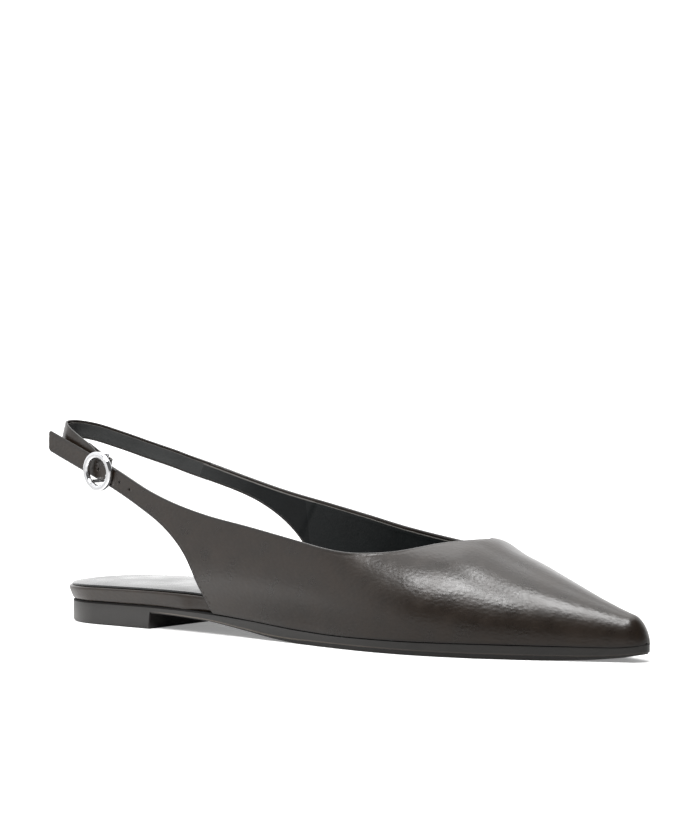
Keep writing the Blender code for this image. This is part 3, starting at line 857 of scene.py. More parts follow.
@dataclass(frozen=True)
class Pattern:
    """One side of the upper's pattern: its edges, its back end, that end's cut, its stitches."""

    side: Side
    topline: Sequence[EdgeRow]
    rear: Sequence[EdgeRow]
    start: float
    corner: float
    end_round: float
    stitch_start: float
    slant: float = 0.0
    slant_fade: float = 16.0
    top_blur: float = 3.0
    rear_blur: float = 2.0

    def top_curve(self) -> Curve:
        """Height of the topline along x."""
        return curve_through(self.topline, "z", self.top_blur)

    def rear_curve(self) -> Curve:
        """Height of the rear edge along x."""
        return curve_through(self.rear, "z", self.rear_blur)


LATERAL_PATTERN = Pattern(
    Side.LATERAL, LATERAL_TOPLINE, LATERAL_REAR, start=STRAP_TIP, corner=LATERAL_CORNER,
    end_round=1.5, stitch_start=RING_PLACE + 10.0,
)
MEDIAL_PATTERN = Pattern(
    Side.MEDIAL, MEDIAL_TOPLINE, MEDIAL_REAR, start=MEDIAL_JOINT, corner=MEDIAL_CORNER,
    end_round=1.2, stitch_start=MEDIAL_JOINT + 4.0, slant=2.4,
)


class Columns(NamedTuple):
    """Foot and top of each column of a wall, and where its open edges end."""

    foot: Array
    foot_arc: Array
    top: Array
    top_arc: Array
    corner: int
    throat: int


@dataclass(frozen=True)
class Crease:
    """A soft fold pressed into the upper from one point of the side view to another."""

    side: Side
    x0: float
    z0: float
    x1: float
    z1: float
    width: float
    depth: float

    def press(self, x: Array, z: Array) -> Array:
        """Depth of the fold: a bell across its line that fades towards both ends.

        Args:
            x: Places along the foot.
            z: Heights.

        Returns:
            How far the leather is pressed in.
        """
        run, lift = self.x1 - self.x0, self.z1 - self.z0
        length = math.hypot(run, lift)
        t = ((x - self.x0) * run + (z - self.z0) * lift) / length**2
        away = ((x - self.x0) * lift - (z - self.z0) * run) / length
        fade = np.clip(1.0 - (2.0 * t - 1.0) ** 2, 0.0, 1.0)
        return self.depth * fade * np.exp(-((away / self.width) ** 2))


# The fold where the foot flexes, on both sides, a dent that breaks the vamp's highlight, and
# two short wrinkles beside the throat.
CREASES = (
    Crease(Side.LATERAL, 178.5, 37.0, 182.5, 18.0, 4.0, 0.06),
    Crease(Side.MEDIAL, 181.0, 38.0, 185.0, 18.0, 3.6, 0.09),
    Crease(Side.LATERAL, 199.0, 33.5, 212.0, 26.5, 4.0, 0.05),
    Crease(Side.LATERAL, 200.5, 39.5, 208.0, 36.5, 1.6, 0.04),
    Crease(Side.LATERAL, 201.5, 37.0, 210.0, 33.5, 1.7, 0.03),
)


class Wave(NamedTuple):
    """A soft wave of the leather.

    It has a place along the foot and as an arc to the inner side of the ridge, a reach each
    way, and a depth to which it sinks.
    """

    x: float
    across: float
    run: float
    reach: float
    sink: float


# The throat's edge lies a little low and stands up in a lip inside the point, and the vamp
# dips ahead of it.
THROAT_WAVES = (
    Wave(196.5, 0.05, 3.4, 0.35, 0.3),
    Wave(200.8, 0.30, 3.0, 0.30, -0.3),
    Wave(209.0, 0.40, 6.0, 0.50, 0.6),
    Wave(219.5, 0.42, 5.0, 0.45, -0.12),
)


@dataclass
class Upper:
    """Vamp, quarters and lateral strap: a leather wall with a lining inside it."""

    last: Last
    leather: float = 1.2
    lining_in: float = 1.15
    lining_out: float = 1.6
    lining_margin: float = 1.2
    # Line where the lining's rear piece begins, and how a painted sheen lightens that piece
    # towards the straps.
    seam_x: float = 88.5
    seam_z: float = 36.0
    seam_slant: float = 0.545
    seam_step: float = 0.35
    seam_sharpness: float = 8.0
    sheen_start: float = 68.0
    sheen_run: float = 28.0
    # Grid of the wall: columns along its parts, and rows that crowd towards its edges.
    nose_columns: int = 6
    throat_columns: int = 24
    ridge_columns: int = 50
    toe_columns: int = 14
    rows: int = 44
    crowding: float = 1.7
    arc_rows: int = 7
    corner_columns: int = 5
    corner_fade: float = 5.0
    fan_start: float = 140.0
    fan_end: float = 232.0
    fan_step: float = 1.4
    ridge_step: float = 3.2
    # How the edges bulge where they are closed, thin out at the tip and darken, and how the
    # creases fade at the ridge. Along the lower edge, where the upper meets the sole, the darkening
    # is painted shade.
    closed_bulge: float = 0.25
    tip_thinning: float = 1.5
    ridge_fade: float = 5.0
    dark_width: float = 0.9
    dark_foot: float = 0.2
    groove: float = 0.06
    groove_place: float = 1.5
    groove_width: float = 0.45
    stitch_pitch: float = 2.3
    stitch_half: float = 0.85
    stitch_radius: float = 0.17
    stitch_rings: int = 9
    stitch_sides: int = 8
    # Holes, and the rods that punch them: turned a little, off the lines of the wall's grid.
    hole_radius: float = 0.65
    stud_hole_radius: float = 1.0
    hole_spacing: float = 6.7
    hole_count: int = 5
    punch_sides: int = 24
    punch_turn: float = 0.07
    punch_out: float = 1.2
    punch_in: float = 3.2

    def columns(self, pattern: Pattern, margin: float) -> Columns:
        """Lays columns from the lower edge to the topline or the ridge.

        They stand upright along the strap and the quarter, and fan out round the throat so
        that they meet its edge squarely. The back end's corners are rounded, or square in a
        sheet that stays inside.

        Args:
            pattern: Side to lay.
            margin: How far the sheet stays inside the back end.

        Returns:
            The columns, from the back end to the toe.
        """
        topline, rear = pattern.top_curve(), pattern.rear_curve()
        begin = pattern.start + margin
        bend = 0.0 if margin else pattern.end_round
        turn = np.linspace(0.0, RIGHT_ANGLE, self.nose_columns if bend else 1)
        nose = begin + bend * (1.0 - np.cos(turn))
        # About one column for each millimetre.
        edge_count, front_count = pattern.corner - nose[-1], THROAT_START - pattern.corner
        edge = np.linspace(nose[-1], pattern.corner, int(edge_count) + 8)[1:]
        front = np.linspace(pattern.corner, THROAT_START, int(front_count) + 2)[1:]
        sweep = np.linspace(0.0, 1.0, self.throat_columns + 1)[1:]
        depth = (THROAT_POINT - THROAT_START) * (1.0 - sweep) ** (1.0 / THROAT_ROUND)
        throat = THROAT_POINT - depth
        toe_start = UPPER_TIP - TOE_ROUND
        ridge = np.linspace(THROAT_POINT + self.ridge_step, toe_start, self.ridge_columns)
        turn = np.linspace(0.0, RIGHT_ANGLE, self.toe_columns + 1)[1:]
        toe = UPPER_TIP - TOE_ROUND * (1.0 - np.sin(turn))
        back = np.concatenate([nose, edge])
        sides = np.concatenate([front, throat])
        fan = sides >= self.fan_start
        feet = sides.copy()
        feet[fan] = np.linspace(self.fan_start, self.fan_end, int(fan.sum()))
        vamp = np.linspace(self.fan_end + self.fan_step, toe_start, len(ridge))
        foot = np.concatenate([back, feet, vamp, toe])
        lean = np.clip(1.0 - (back - begin) / pattern.slant_fade, 0.0, 1.0)
        tops = back + pattern.slant * lean
        top = np.concatenate([tops, sides, ridge, toe])
        inside = bend - np.clip(back - begin, 0.0, bend)
        drop = bend - np.sqrt(bend**2 - inside**2)
        foot_arc = np.zeros_like(foot)
        foot_arc[: len(back)] = self.last.arc_at(back, rear(back) + drop)
        top_arc = np.full_like(top, RIGHT_ANGLE)
        low = top < THROAT_START + 1e-6
        top_arc[low] = self.last.arc_at(top[low], topline(top[low]))
        top_arc[: len(back)] = self.last.arc_at(tops, topline(tops) - drop)
        opened = len(back) + len(front)
        end = opened + len(throat)
        power = self.last.curves["full_" + pattern.side.word]
        start = math.sin(float(self.last.arc_at(THROAT_START, topline(THROAT_START))))
        cosine = math.sqrt(1.0 - start ** float(power(THROAT_START))) * (1.0 - sweep)
        sine = (1.0 - cosine**2) ** (1.0 / power(throat))
        top_arc[opened:end] = np.arcsin(np.clip(sine, 0.0, 1.0))
        return Columns(foot, foot_arc, top, top_arc, len(back) - 1, end - 1)

    def ends(self, pattern: Pattern, col: Columns) -> tuple[Array, Array]:
        """Points at the foot and at the top of each column."""
        side, point = pattern.side, self.last.point
        return point(side, col.foot, col.foot_arc), point(side, col.top, col.top_arc)

    def rim(self, pattern: Pattern, x: Array, arc: Array, inward: Array) -> Array:
        """Directions that point out of the sheet along an edge, square to edge and normal.

        Args:
            pattern: Side of the upper.
            x: Places of the edge.
            arc: Arcs of the edge.
            inward: Vectors from the edge into the sheet.

        Returns:
            Outward directions in the sheet's plane.
        """
        normal = self.last.normal(pattern.side, x, arc)
        along = np.gradient(self.last.point(pattern.side, x, arc), axis=0)
        out = unit(np.cross(normal, along))
        return out * np.where(np.sum(out * inward, -1, keepdims=True) > 0, -1.0, 1.0)

    def moved(self, side: Side, x: Array, arc: Array, step: Array) -> tuple[Array, Array]:
        """Place and arc after a small step in the sheet's plane.

        The step is shared between the two tangents by solving the pair of equations that
        their dot products give.

        Args:
            side: Side of the foot.
            x: Places along the foot.
            arc: Arcs of the section.
            step: Vectors of the step.

        Returns:
            The new places and arcs.
        """
        along, up = self.last.tangents(side, x, arc)
        a, b, c = (np.sum(p * q, -1) for p, q in ((along, along), (along, up), (up, up)))
        u, v = np.sum(along * step, -1), np.sum(up * step, -1)
        size = np.maximum(a * c - b * b, 1e-9)
        turned = arc + (a * v - b * u) / size
        return x + (c * u - b * v) / size, np.clip(turned, 0.0, RIGHT_ANGLE)

    def wall(
        self, work: Patchwork, pattern: Pattern, outer: float, inner: float, margin: float,
        top_mark: int, rear_mark: int,
    ) -> None:
        """Adds one side of a wall: both faces, rounded open edges and the back end's edge.

        A wall that lies under the surface is the lining: behind its seam a rear piece stands a
        step further in.

        Args:
            work: Patchwork that takes the grids.
            pattern: Side to build.
            outer: Depth of the outer face under the last's surface.
            inner: Depth of the inner face.
            margin: How far the sheet stays inside the pattern's edges.
            top_mark: Material number of the edge along the topline.
            rear_mark: Material number of the other edges.
        """
        side, last = pattern.side, self.last
        col = self.columns(pattern, margin)
        feet, tops = self.ends(pattern, col)
        radius = 0.5 * (inner - outer)
        index = np.arange(len(feet))
        open_foot = np.clip((col.corner - index) / self.corner_fade, 0.0, 1.0)[:, None]
        open_top = (index <= col.throat).astype(float)[:, None]
        foot_out = self.rim(pattern, col.foot, col.foot_arc, tops - feet)
        top_out = self.rim(pattern, col.top, col.top_arc, feet - tops)
        top_out[col.throat] = (-1.0, 0.0, 0.0)
        inset = margin + radius
        foot, foot_arc = self.moved(side, col.foot, col.foot_arc, -foot_out * inset * open_foot)
        top, top_arc = self.moved(side, col.top, col.top_arc, -top_out * inset * open_top)
        top[col.throat :] = col.top[col.throat :] + inset * open_top[col.throat :, 0]
        top_arc[col.throat :] = RIGHT_ANGLE
        even = self.crowding * np.linspace(-1.0, 1.0, self.rows)
        share = 0.5 + 0.5 * np.tanh(even) / math.tanh(self.crowding)
        x = foot[:, None] + (top - foot)[:, None] * share
        arc = foot_arc[:, None] + (top_arc - foot_arc)[:, None] * share
        skin = last.point(side, x, arc)
        normal = last.normal(side, x, arc)
        length = np.linalg.norm(np.diff(skin, axis=1), axis=-1).sum(axis=1)[:, None]
        # An edge that is closed counts as far away.
        from_foot = share * length + radius + LENGTH * (1.0 - open_foot)
        from_top = (1.0 - share) * length + radius + LENGTH * (1.0 - open_top)
        from_edge = np.minimum(from_foot, from_top)
        # Open edges take the edge tone; the lower edge by the sole always does, as painted shade.
        from_edge_or_foot_shade = np.minimum(from_edge, share * length + self.dark_foot)
        near = np.exp(-((from_edge_or_foot_shade / self.dark_width) ** 2))
        thin = np.clip(self.tip_thinning * toe_cap(x, UPPER_TIP), 0.0, 1.0)[..., None]
        shell = skin - normal * (self.relief(side, arc, skin, from_edge)[..., None] * thin)
        outside = shell - normal * outer * thin
        inside = shell - normal * inner * thin
        work.add(outside, 0, near)
        if outer > 0.0:
            behind = self.seam_x + self.seam_slant * (skin[..., 2] - self.seam_z) - skin[..., 0]
            step = self.seam_step / (1.0 + np.exp(-self.seam_sharpness * behind))
            inside = inside - normal * step[..., None]
            cut = int(np.argmax(behind[:, self.rows // 2] < 0.0))
            # The rear piece is painted paler towards the straps: a painted sheen.
            painted_sheen = np.clip((self.sheen_start - skin[: cut + 1, :, 0]) / self.sheen_run, 0.0, 1.0)
            work.add(inside[: cut + 1], rear_mark, painted_sheen)
            work.add(inside[cut:], 0)
        else:
            work.add(inside, 0)
        foot_out *= self.closed_bulge + (1.0 - self.closed_bulge) * open_foot
        # The lower edge's rounding takes the dark edge tone: painted shade where it sits on the
        # sole.
        self.round_edge(work, outside[:, 0], inside[:, 0], foot_out, rear_mark)
        keep = slice(0, col.throat + 1)
        self.round_edge(work, outside[keep, -1], inside[keep, -1], top_out[keep], top_mark)
        # The back end's edge points away from the columns next to it.
        out = unit(np.cross(normal[0], unit(np.gradient(outside[0], axis=0))))
        out *= np.sign(np.sum(out * (outside[0] - outside[3]), -1, keepdims=True))
        self.round_edge(work, outside[0], inside[0], out, rear_mark)
        for row, start in ((0, foot_out[0]), (-1, top_out[0])):
            turned = np.linspace(start, out[row], self.corner_columns)
            faces = (np.tile(face[0, row], (len(turned), 1)) for face in (outside, inside))
            self.round_edge(work, *faces, unit(turned), rear_mark)

    def relief(self, side: Side, arc: Array, skin: Array, from_edge: Array) -> Array:
        """How far the leather is pressed in: a sum of bells.

        They are the stitch groove along the edges, the waves round the throat and the creases,
        which fade at the ridge so that both sides meet there.

        Args:
            side: Side of the foot.
            arc: Arcs of the section.
            skin: Points of the last.
            from_edge: Distances from the nearest open edge.

        Returns:
            Depths, below zero where the leather stands up.
        """
        x, z = skin[..., 0], skin[..., 2]
        from_ridge = RIGHT_ANGLE - arc
        bed = np.exp(-(((from_edge - self.groove_place) / self.groove_width) ** 2))
        press = self.groove * bed
        for wave in THROAT_WAVES:
            across = (side.value * from_ridge - wave.across) / wave.reach
            press = press + wave.sink * np.exp(-(((x - wave.x) / wave.run) ** 2 + across**2))
        fade = np.tanh(self.ridge_fade * from_ridge)
        for crease in CREASES:
            if crease.side is side:
                press = press + fade * crease.press(x, z)
        return press

    def round_edge(
        self, work: Patchwork, outside: Array, inside: Array, out: Array, rim: int
    ) -> None:
        """Adds a half-round edge between the two faces of the wall.

        Args:
            work: Patchwork that takes it.
            outside: Edge of the outer face.
            inside: Edge of the inner face.
            out: Directions in which it bulges.
            rim: Its material number.
        """
        turn = np.linspace(0.0, math.pi, self.arc_rows)[None, :, None]
        middle, reach = 0.5 * (outside + inside)[:, None], 0.5 * (outside - inside)[:, None]
        bulge = out[:, None] * np.linalg.norm(reach, axis=-1, keepdims=True)
        work.add(middle + reach * np.cos(turn) + bulge * np.sin(turn), rim, 1.0)

    def build(self) -> None:
        """Builds and dresses the leather and the lining."""
        leather = Patchwork()
        lining = Patchwork()
        for pattern in (LATERAL_PATTERN, MEDIAL_PATTERN):
            self.wall(leather, pattern, 0.0, self.leather, margin=0.0, top_mark=0, rear_mark=0)
            self.wall(
                lining, pattern, self.lining_in, self.lining_out,
                margin=self.lining_margin, top_mark=1, rear_mark=2,
            )
        outside = leather.build("upper_leather", [NAPPA], sharp=50.0)
        inside = lining.build("upper_lining", [LINING, CUT_EDGE, REAR_LINING], sharp=50.0)
        punch = self.punch()
        for piece in (outside, inside):
            self.cut(piece, punch)
        bpy.data.objects.remove(punch, do_unlink=True)
        settle(outside, Slot.LEATHER, "upper")
        settle(inside, Slot.SOCK)
        settle(self.stitches(), Slot.LEATHER)

    def stitches(self) -> Piece:
        """Makes the stitches along both rear edges, each an ellipsoid half sunk in the groove.

        Returns:
            The new object.
        """
        work = Patchwork()
        run = np.linspace(0.0, math.pi, self.stitch_rings)[:, None, None]
        turn = np.linspace(0.0, FULL_TURN, self.stitch_sides + 1)[None, :-1, None]
        for pattern in (LATERAL_PATTERN, MEDIAL_PATTERN):
            side, col = pattern.side, self.columns(pattern, 0.0)
            feet, tops = self.ends(pattern, col)
            out = self.rim(pattern, col.foot, col.foot_arc, tops - feet)
            x, arc = self.moved(side, col.foot, col.foot_arc, -out * self.groove_place)
            keep = (np.arange(len(x)) < col.corner) & (x > pattern.stitch_start)
            passed = lengths(self.last.point(side, x[keep], arc[keep]))
            place = np.arange(self.stitch_half, passed[-1] - self.stitch_half, self.stitch_pitch)
            x, arc = np.interp(place, passed, x[keep]), np.interp(place, passed, arc[keep])
            normal = self.last.normal(side, x, arc)
            centre = self.last.point(side, x, arc) - self.groove * normal
            along = unit(np.gradient(centre, axis=0))
            for middle, ahead, up in zip(centre, along, normal):
                spoke = np.cos(turn) * np.cross(up, ahead) + np.sin(turn) * up
                bead = spoke * self.stitch_radius * np.sin(run)
                work.add(middle + ahead * self.stitch_half * np.cos(run) + bead, wrap=True)
        return work.build("upper_stitches", [THREAD], sharp=60.0)

    def strap_middle(self, x: Array) -> Array:
        """Points on the outer face of the lateral strap, midway between its edges."""
        middle = 0.5 * (LATERAL_PATTERN.top_curve()(x) + LATERAL_PATTERN.rear_curve()(x))
        return self.last.point(Side.LATERAL, x, self.last.arc_at(x, middle))

    def strap_axes(self, x: float) -> tuple[Array, Array]:
        """Place on the lateral strap and its axes.

        Args:
            x: Place along the foot.

        Returns:
            The middle of the strap's outer face, and rows along it, up across it and out of it.
        """
        line = self.strap_middle(np.array([x - 1.0, x, x + 1.0]))
        along = unit(line[2] - line[0])
        across = unit(UP - along * UP.dot(along))
        return line[1], np.stack([along, across, np.cross(along, across)])

    def punch(self) -> Piece:
        """Makes the rods that punch the strap's holes, each a closed tube of rings.

        Returns:
            A helper object that is removed after the cut.
        """
        work = Patchwork()
        centre, axes = self.strap_axes(RING_PLACE)
        stud = float((centre + STUD_PLACE * axes[0])[0])
        for step in range(-(self.hole_count // 2), self.hole_count // 2 + 1):
            radius = self.stud_hole_radius if step == 0 else self.hole_radius
            place, turned = self.strap_axes(stud + step * self.hole_spacing)
            turn = self.punch_turn + np.linspace(0.0, FULL_TURN, self.punch_sides + 1)[None, :]
            size = radius * np.array([0.0, 1.0, 1.0, 0.0])[:, None]
            depth = np.repeat([self.punch_out, -self.punch_in], 2)[:, None]
            rod = np.broadcast_arrays(size * np.cos(turn), size * np.sin(turn), depth)
            work.add(place + np.stack(rod, -1) @ turned)
        return work.build("punch", [NAPPA], sharp=40.0)

    def cut(self, piece: Piece, punch: Piece) -> None:
        """Cuts the punch out of a piece and keeps the result as its mesh.

        Args:
            piece: Piece that gets the holes.
            punch: The rods.
        """
        bite = piece.modifiers.new("Punch", "BOOLEAN")
        bite.operation = "DIFFERENCE"
        bite.solver = "EXACT"
        bite.object = punch
        seen = piece.evaluated_get(bpy.context.evaluated_depsgraph_get())
        mesh = bpy.data.meshes.new_from_object(seen)
        piece.modifiers.clear()
        old = piece.data
        name = old.name
        piece.data = mesh
        bpy.data.meshes.remove(old)
        mesh.name = name


# ----------------------------------------------------------------------------------------
# Sole, board and sock
# ----------------------------------------------------------------------------------------


def stations(tip: float) -> Array:
    """Places along the sole, close together round the heel, at the breast and at the toe.

    Args:
        tip: Place of the toe's tip.

    Returns:
        Places from the heel to the tip.
    """
    heel_count, seat_count, waist_count, forefoot_count, toe_count = 41, 26, 66, 100, 21
    heel = HEEL_ROUND * (1.0 - np.cos(np.linspace(0.0, RIGHT_ANGLE, heel_count)))
    seat = np.linspace(HEEL_ROUND, BREAST_BACK, seat_count)[1:]
    waist = np.linspace(BREAST_FRONT, WAIST_END, waist_count)
    forefoot = np.linspace(WAIST_END, tip - TOE_ROUND, forefoot_count)[1:]
    toe = tip - TOE_ROUND * (1.0 - np.sin(np.linspace(0.0, RIGHT_ANGLE, toe_count)[1:]))
    return np.concatenate([heel, seat, waist, forefoot, toe])


def quarter_round(count: int) -> list[tuple[float, float]]:
    """Quarter circle of radius one: pairs of 1 - sine, which falls to 0, and 1 - cosine."""
    turn = np.linspace(0.0, RIGHT_ANGLE, count)
    return list(zip(1.0 - np.sin(turn), 1.0 - np.cos(turn)))


def board_curves(x: Array) -> list[Array]:
    """Offsets of the board on the lateral and the medial side, and its top, at stations."""
    return [curve_through(BOARD, name, BOARD_BLUR)(x) for name in BoardRow._fields[1:]]


def sole_ring(x: Array, tip: float, lateral: Array, medial: Array, height: Array) -> Array:
    """Closed ring round the sole, moved out square to its edge and lifted to a height.

    Args:
        x: Stations.
        tip: Place of the toe's tip.
        lateral: Offsets outwards on the lateral side.
        medial: Offsets outwards on the medial side.
        height: Heights at the stations.

    Returns:
        Points round the ring: heel, lateral side, toe, medial side.
    """
    cap = heel_cap(x) * toe_cap(x, tip)
    outer, inner = (
        np.stack([x, side.value * curve_through(SOLE, side.word, SOLE_BLUR)(x) * cap], 1)
        for side in (Side.LATERAL, Side.MEDIAL)
    )
    ring = np.concatenate([outer, inner[-2:0:-1]])
    offset = np.concatenate([lateral, medial[-2:0:-1]])
    along = unit(np.roll(ring, -1, 0) - np.roll(ring, 1, 0))
    plan = ring + np.stack([along[:, 1], -along[:, 0]], 1) * offset[:, None]
    return np.column_stack([plan, np.concatenate([height, height[-2:0:-1]])])


def collapsed(ring: Array, share: float, lift: float = 0.0) -> Array:
    """A ring drawn in to a share of its size, and lifted.

    Its two sides meet on y = 0, station by station, and the heel's end meets at its centre.

    Args:
        ring: Ring of the sole.
        share: Share of its size that is left.
        lift: How far it is lifted.

    Returns:
        The new ring.
    """
    centre = 0.5 * (ring + np.roll(ring[::-1], 1, axis=0))
    heel = centre[:, 0] < HEEL_ROUND
    seat = ring[np.argmin(np.abs(centre[:, 0] - HEEL_ROUND)), 2]
    centre[heel, 0], centre[heel, 2] = HEEL_ROUND, seat
    centre[:, 1] = 0.0
    return centre + (ring - centre) * share + lift * UP


def stack_rings(
    name: str, rings: list[Array], finishes: Sequence[Finish], edges: Array,
    marks: Array | int = 0,
) -> Piece:
    """A closed solid from rings, the first and last of which are drawn in to a line.

    Args:
        name: Name of the piece.
        rings: Rings from the top to the bottom.
        finishes: Its finishes by number.
        edges: Edge values by ring and point, or by ring alone.
        marks: Number of the finish between each ring and the next.

    Returns:
        The new object.
    """
    work = Patchwork()
    work.add(np.stack(rings), marks, edges, wrap=True)
    return work.build(name, finishes, sharp=42.0)


@dataclass
class Sole:
    """Moulded sole with its heel block, the leather-covered board on it and the padded sock."""

    # Sole unit, from the top edge painted black as shade down to the tread.
    heel_edge: float = 0.8
    top_edge: float = 0.2
    edge_places: tuple[float, float] = (60.0, 110.0)
    feather_shade_rings: int = 6
    band_shares: tuple[float, ...] = (0.25, 0.5, 0.75, 0.9)
    lip: float = 0.35
    lip_rings: int = 5
    # Where a painted highlight lightens the lip's colour, and how far.
    highlight_places: tuple[float, ...] = (BREAST_FRONT, 64.0, 120.0, 200.0)
    highlight_shares: tuple[float, ...] = (0.0, 1.0, 1.0, 0.25)
    tread_edge: float = 0.35
    tread_edge_share: float = 0.7
    tread_depth: float = 0.35
    tread_pitch: float = 5.2
    tread_margin: float = 0.86
    tread_fade: float = 0.05
    tread_zones: tuple[tuple[float, float], ...] = ((8.0, 48.0), (142.0, 240.0))
    margin_rings: int = 3
    tread_rings: int = 12
    # Covered board.
    board_edge: float = 0.8
    board_edge_rings: int = 7
    board_rings: int = 11
    board_flare: float = 1.15
    board_groove: float = 0.5
    board_groove_power: int = 10
    # Padded sock.
    sock_inset: float = 1.2
    sock_inset_front: float = 0.3
    sock_inset_places: tuple[float, float] = (75.0, 105.0)
    sock_edge: float = 0.7
    sock_edge_rings: int = 9
    sock_dark_rings: float = 3.0
    sock_thickness: float = 1.5
    sock_crown: float = 0.3
    crown_rings: int = 21
    crown_power: int = 4

    def build(self) -> None:
        """Builds and dresses the three layers."""
        settle(self.outsole(), Slot.RUBBER, "outsole")
        settle(self.board(), Slot.LEATHER, "midsole")
        sock = settle(self.sock(), Slot.SOCK, "insole")

    def outsole(self) -> Piece:
        """Sole unit: rounded top edge, band with a lip, and the tread pad set in below it.

        Returns:
            The new object.
        """
        x = stations(LENGTH)
        columns = ("top", "step", "shelf")
        top, step, shelf = (curve_through(SOLE, name, SOLE_BLUR)(x) for name in columns)
        bottom = curve_through(SOLE, "bottom")(x)
        rings: list[Array] = []
        edges: list[Array] = []

        def ring(inset: Array | float, height: Array, edge: Array | float = 0.0) -> None:
            """Adds a ring.

            Args:
                inset: How far it lies inside the sole's edge.
                height: Its heights.
                edge: How far its colour is lightened by a painted highlight.
            """
            away = -(np.zeros_like(x) + inset)
            near = np.zeros_like(x) + edge
            rings.append(sole_ring(x, LENGTH, away, away, height))
            edges.append(np.concatenate([near, near[-2:0:-1]]))

        edge = np.interp(x, self.edge_places, [self.heel_edge, self.top_edge])
        for inset, drop in quarter_round(self.feather_shade_rings):
            ring(edge * inset, top - edge * drop)
        low = bottom + step
        for share in self.band_shares:
            ring(0.0, (top - edge) * (1 - share) + (low + self.lip) * share)
        # The lip is lightened along the waist by a painted highlight.
        lip_highlight = np.interp(x, self.highlight_places, self.highlight_shares)
        for rise, inset in quarter_round(self.lip_rings):
            ring(self.lip * inset, low + self.lip * rise, lip_highlight)
        ring(shelf, low)
        foot = np.minimum(self.tread_edge, self.tread_edge_share * step)
        for rise, inset in quarter_round(self.lip_rings):
            ring(shelf + self.tread_edge * inset, bottom + foot * rise)
        margin = np.linspace(1.0, self.tread_margin, self.margin_rings + 1)[1:]
        shares = np.append(margin, np.linspace(self.tread_margin, 0.0, self.tread_rings))
        under = [self.tread(collapsed(rings[-1], share), share) for share in shares]
        rings = [collapsed(rings[0], 0.0), *rings, *under]
        edges = [edges[0], *edges, *[edges[-1]] * len(under)]
        # The rings of the rounded top edge take the black of the painted shade.
        marks = (np.arange(len(rings) - 1) < self.feather_shade_rings).astype(int)[:, None]
        return stack_rings("sole_unit", rings, (RUBBER, FEATHER_SHADE), np.stack(edges), marks)

    def tread(self, ring: Array, share: float) -> Array:
        """Presses cross grooves, squared raised cosines, into the forefoot's and heel's zones.

        Args:
            ring: Ring of the underside.
            share: Its share of the sole's size.

        Returns:
            The same ring.
        """
        x = ring[:, 0]
        wave = (0.5 - 0.5 * np.cos(FULL_TURN * x / self.tread_pitch)) ** 2
        zones = [1.0 / (1.0 + np.exp(low - x) + np.exp(x - high)) for low, high in self.tread_zones]
        inside = np.clip((self.tread_margin - share) / self.tread_fade, 0.0, 1.0)
        ring[:, 2] += self.tread_depth * inside * wave * sum(zones)
        return ring

    def board(self) -> Piece:
        """Covered board: rounded top edge over a side that draws in to the sole.

        Returns:
            The new object.
        """
        x = stations(BOARD_TIP)
        lateral, medial, top = board_curves(x)
        bottom = curve_through(SOLE, "top", SOLE_BLUR)(x) + SEAM
        rings = []
        for inset, drop in quarter_round(self.board_edge_rings):
            back, height = self.board_edge * inset, top - self.board_edge * drop
            rings.append(sole_ring(x, BOARD_TIP, lateral - back, medial - back, height))
        for share in np.linspace(0.0, 1.0, self.board_rings + 1)[1:]:
            flare = 1.0 - share**self.board_flare
            groove = self.board_groove * share**self.board_groove_power
            sides = [np.where(out > 0, out * flare, out) - groove for out in (lateral, medial)]
            height = (top - self.board_edge) * (1 - share) + bottom * share
            rings.append(sole_ring(x, BOARD_TIP, *sides, height))
        rings = [collapsed(rings[0], 0.0), *rings, collapsed(rings[-1], 0.0)]
        return stack_rings("covered_board", rings, (NAPPA,), np.zeros((len(rings), 1)))

    def sock(self) -> Piece:
        """Padded sock: thin rounded edge, then a low crown towards the middle of the foot.

        Returns:
            The new object.
        """
        x = stations(SOCK_TIP)
        lateral, medial, top = board_curves(x)
        margin = np.interp(x, self.sock_inset_places, [self.sock_inset, self.sock_inset_front])
        rings = []
        for left, past in quarter_round(self.sock_edge_rings):
            inset, height = margin + self.sock_edge * past, top + GAP + self.sock_edge * (1 - left)
            rings.append(sole_ring(x, SOCK_TIP, lateral - inset, medial - inset, height))
        rings.insert(0, collapsed(rings[0], 0.0))
        edge = rings[-1]
        rise = self.sock_thickness + self.sock_crown - self.sock_edge
        for share in np.linspace(1.0, 0.0, self.crown_rings + 1)[1:]:
            rings.append(collapsed(edge, share, rise * (1 - share**self.crown_power)))
        # The sock's rounded edge darkens towards the wall: painted shade.
        dark = np.exp(-((np.arange(self.sock_edge_rings) / self.sock_dark_rings) ** 2))
        near = np.concatenate([[0.0], dark, np.zeros(self.crown_rings)])
        return stack_rings("padded_sock", rings, (SOCK,), near[:, None])


# ----------------------------------------------------------------------------------------
# Sling strap and buckle
# ----------------------------------------------------------------------------------------


class FoldRow(NamedTuple):
    """A point of the sling at the buckle, along, across and out of the lateral strap.

    The lean is the slope of the sling's width along that strap.
    """

    along: float
    across: float
    out: float
    lean: float


# Points that the sling passes round the heel.
SLING_BACK = np.array(
    [
        (30.0, 18.7, 63.6), (18.0, 15.1, 67.3), (7.5, 10.5, 71.0), (-1.3, 4.8, 74.2),
        (-6.5, -1.1, 75.5), (-7.2, -6.0, 75.3), (-3.0, -9.8, 73.6), (5.0, -12.0, 69.8),
    ]
)


